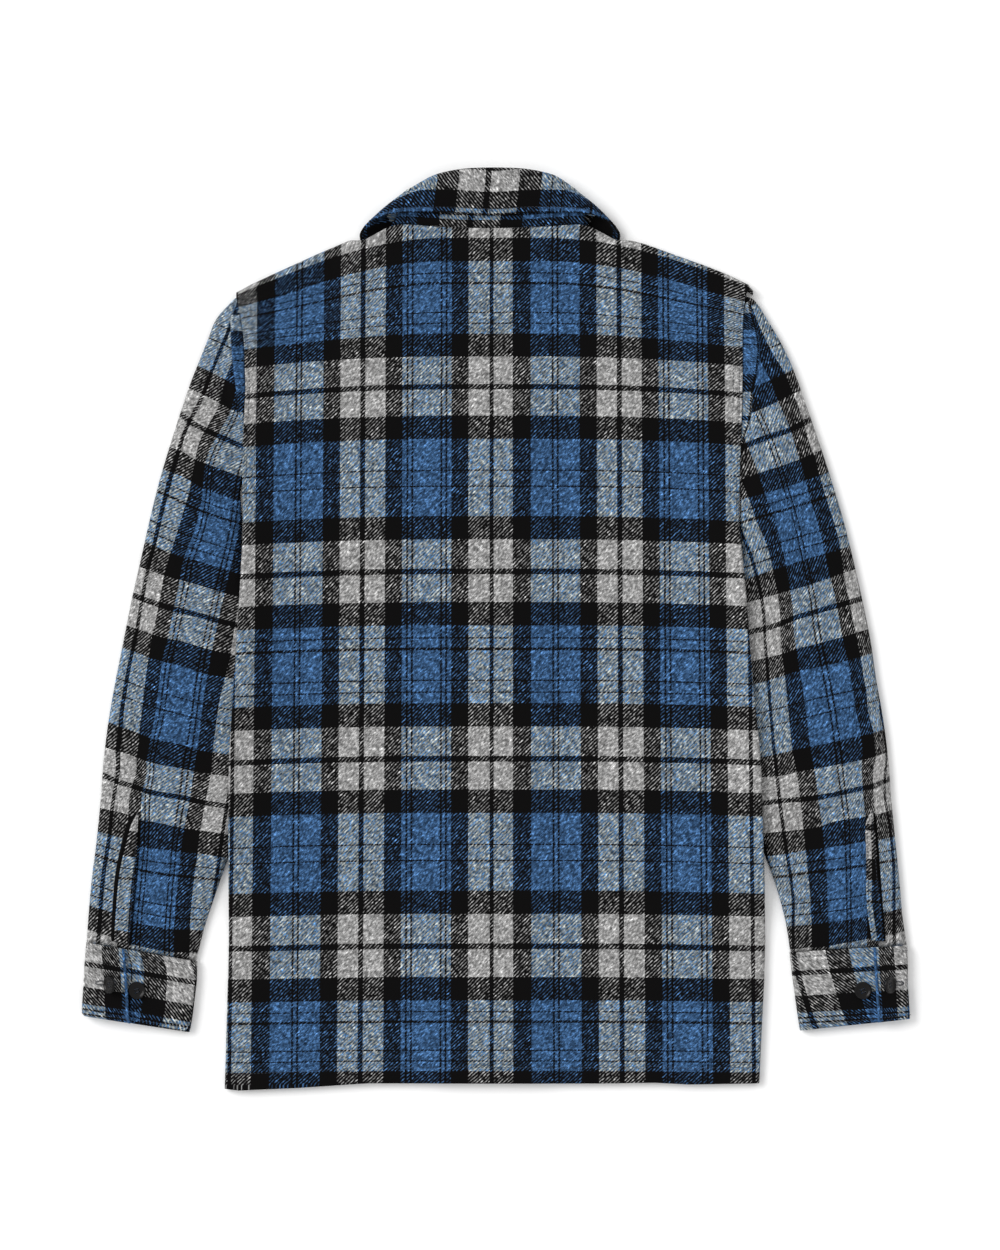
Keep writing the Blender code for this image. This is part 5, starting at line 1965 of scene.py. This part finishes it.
class JACKET_OT_stage(bpy.types.Operator):
    """Make the floor, the lights and the camera"""

    bl_idname = "jacket.stage"
    bl_label = "Floor, light and camera"

    def execute(self, context):
        sizes, colours = context.scene.jacket_sizes, context.scene.jacket_colours
        bpy.ops.mesh.primitive_plane_add(size=FLOOR_SIZE)
        floor = context.object
        floor.name = "floor"
        floor.data.transform(Matrix.Translation((0.0, 0.0, -FLOOR_DROP * MM)))
        material = plain_material("White paper", tuple(colours.floor),
                                  roughness=0.9, grain=0.005, scale=40.0)
        floor.data.materials.append(material)
        world = bpy.data.worlds.new("Soft studio")
        context.scene.world = world
        world.use_nodes = True
        background = world.node_tree.nodes["Background"]
        background.inputs["Color"].default_value = (1.0, 1.0, 1.0, 1.0)
        background.inputs["Strength"].default_value = SKY_STRENGTH
        sun = bpy.data.objects.new("sun", bpy.data.lights.new("sun", "SUN"))
        sun.data.energy = SUN_STRENGTH
        sun.data.angle = SUN_ANGLE
        sun.rotation_euler = Vector(SUN_FROM).to_track_quat("Z", "Y").to_euler()
        context.scene.collection.objects.link(sun)
        camera = bpy.data.objects.new("camera", bpy.data.cameras.new("camera"))
        camera.data.lens = sizes.lens
        camera.data.sensor_width = SENSOR
        height = sizes.view_height * sizes.lens / SENSOR
        camera.location = (CAMERA_X * MM, CAMERA_Y * MM, height)
        camera.data.clip_end = VIEW_REACH
        context.scene.collection.objects.link(camera)
        context.scene.camera = camera
        context.scene.view_settings.view_transform = "Standard"
        return {"FINISHED"}


OPERATORS = (
    JACKET_OT_back,
    JACKET_OT_fronts,
    JACKET_OT_sleeves,
    JACKET_OT_cuffs,
    JACKET_OT_collar,
    JACKET_OT_buttons,
    JACKET_OT_stitching,
    JACKET_OT_stage,
)


class JACKET_PT_panel(bpy.types.Panel):
    """Sidebar panel with the jacket's sizes, colours and pieces"""

    bl_idname = "JACKET_PT_panel"
    bl_label = "Shirt jacket"
    bl_space_type = "VIEW_3D"
    bl_region_type = "UI"
    bl_category = "Jacket"

    def draw(self, context):
        for group in (context.scene.jacket_sizes, context.scene.jacket_colours):
            box = self.layout.box()
            for name in group.bl_rna.properties.keys():
                if name not in ("rna_type", "name"):
                    box.prop(group, name)
        for operator in OPERATORS:
            self.layout.operator(operator.bl_idname)


CLASSES = (JacketColours, JacketSizes) + OPERATORS + (JACKET_PT_panel,)


def register():
    for entry in CLASSES:
        bpy.utils.register_class(entry)
    bpy.types.Scene.jacket_colours = bpy.props.PointerProperty(type=JacketColours)
    bpy.types.Scene.jacket_sizes = bpy.props.PointerProperty(type=JacketSizes)


def unregister():
    del bpy.types.Scene.jacket_sizes
    del bpy.types.Scene.jacket_colours
    for entry in reversed(CLASSES):
        bpy.utils.unregister_class(entry)


def main():
    register()
    for operator in OPERATORS:
        group, name = operator.bl_idname.split(".")
        getattr(getattr(bpy.ops, group), name)()


if __name__ == "__main__":
    main()
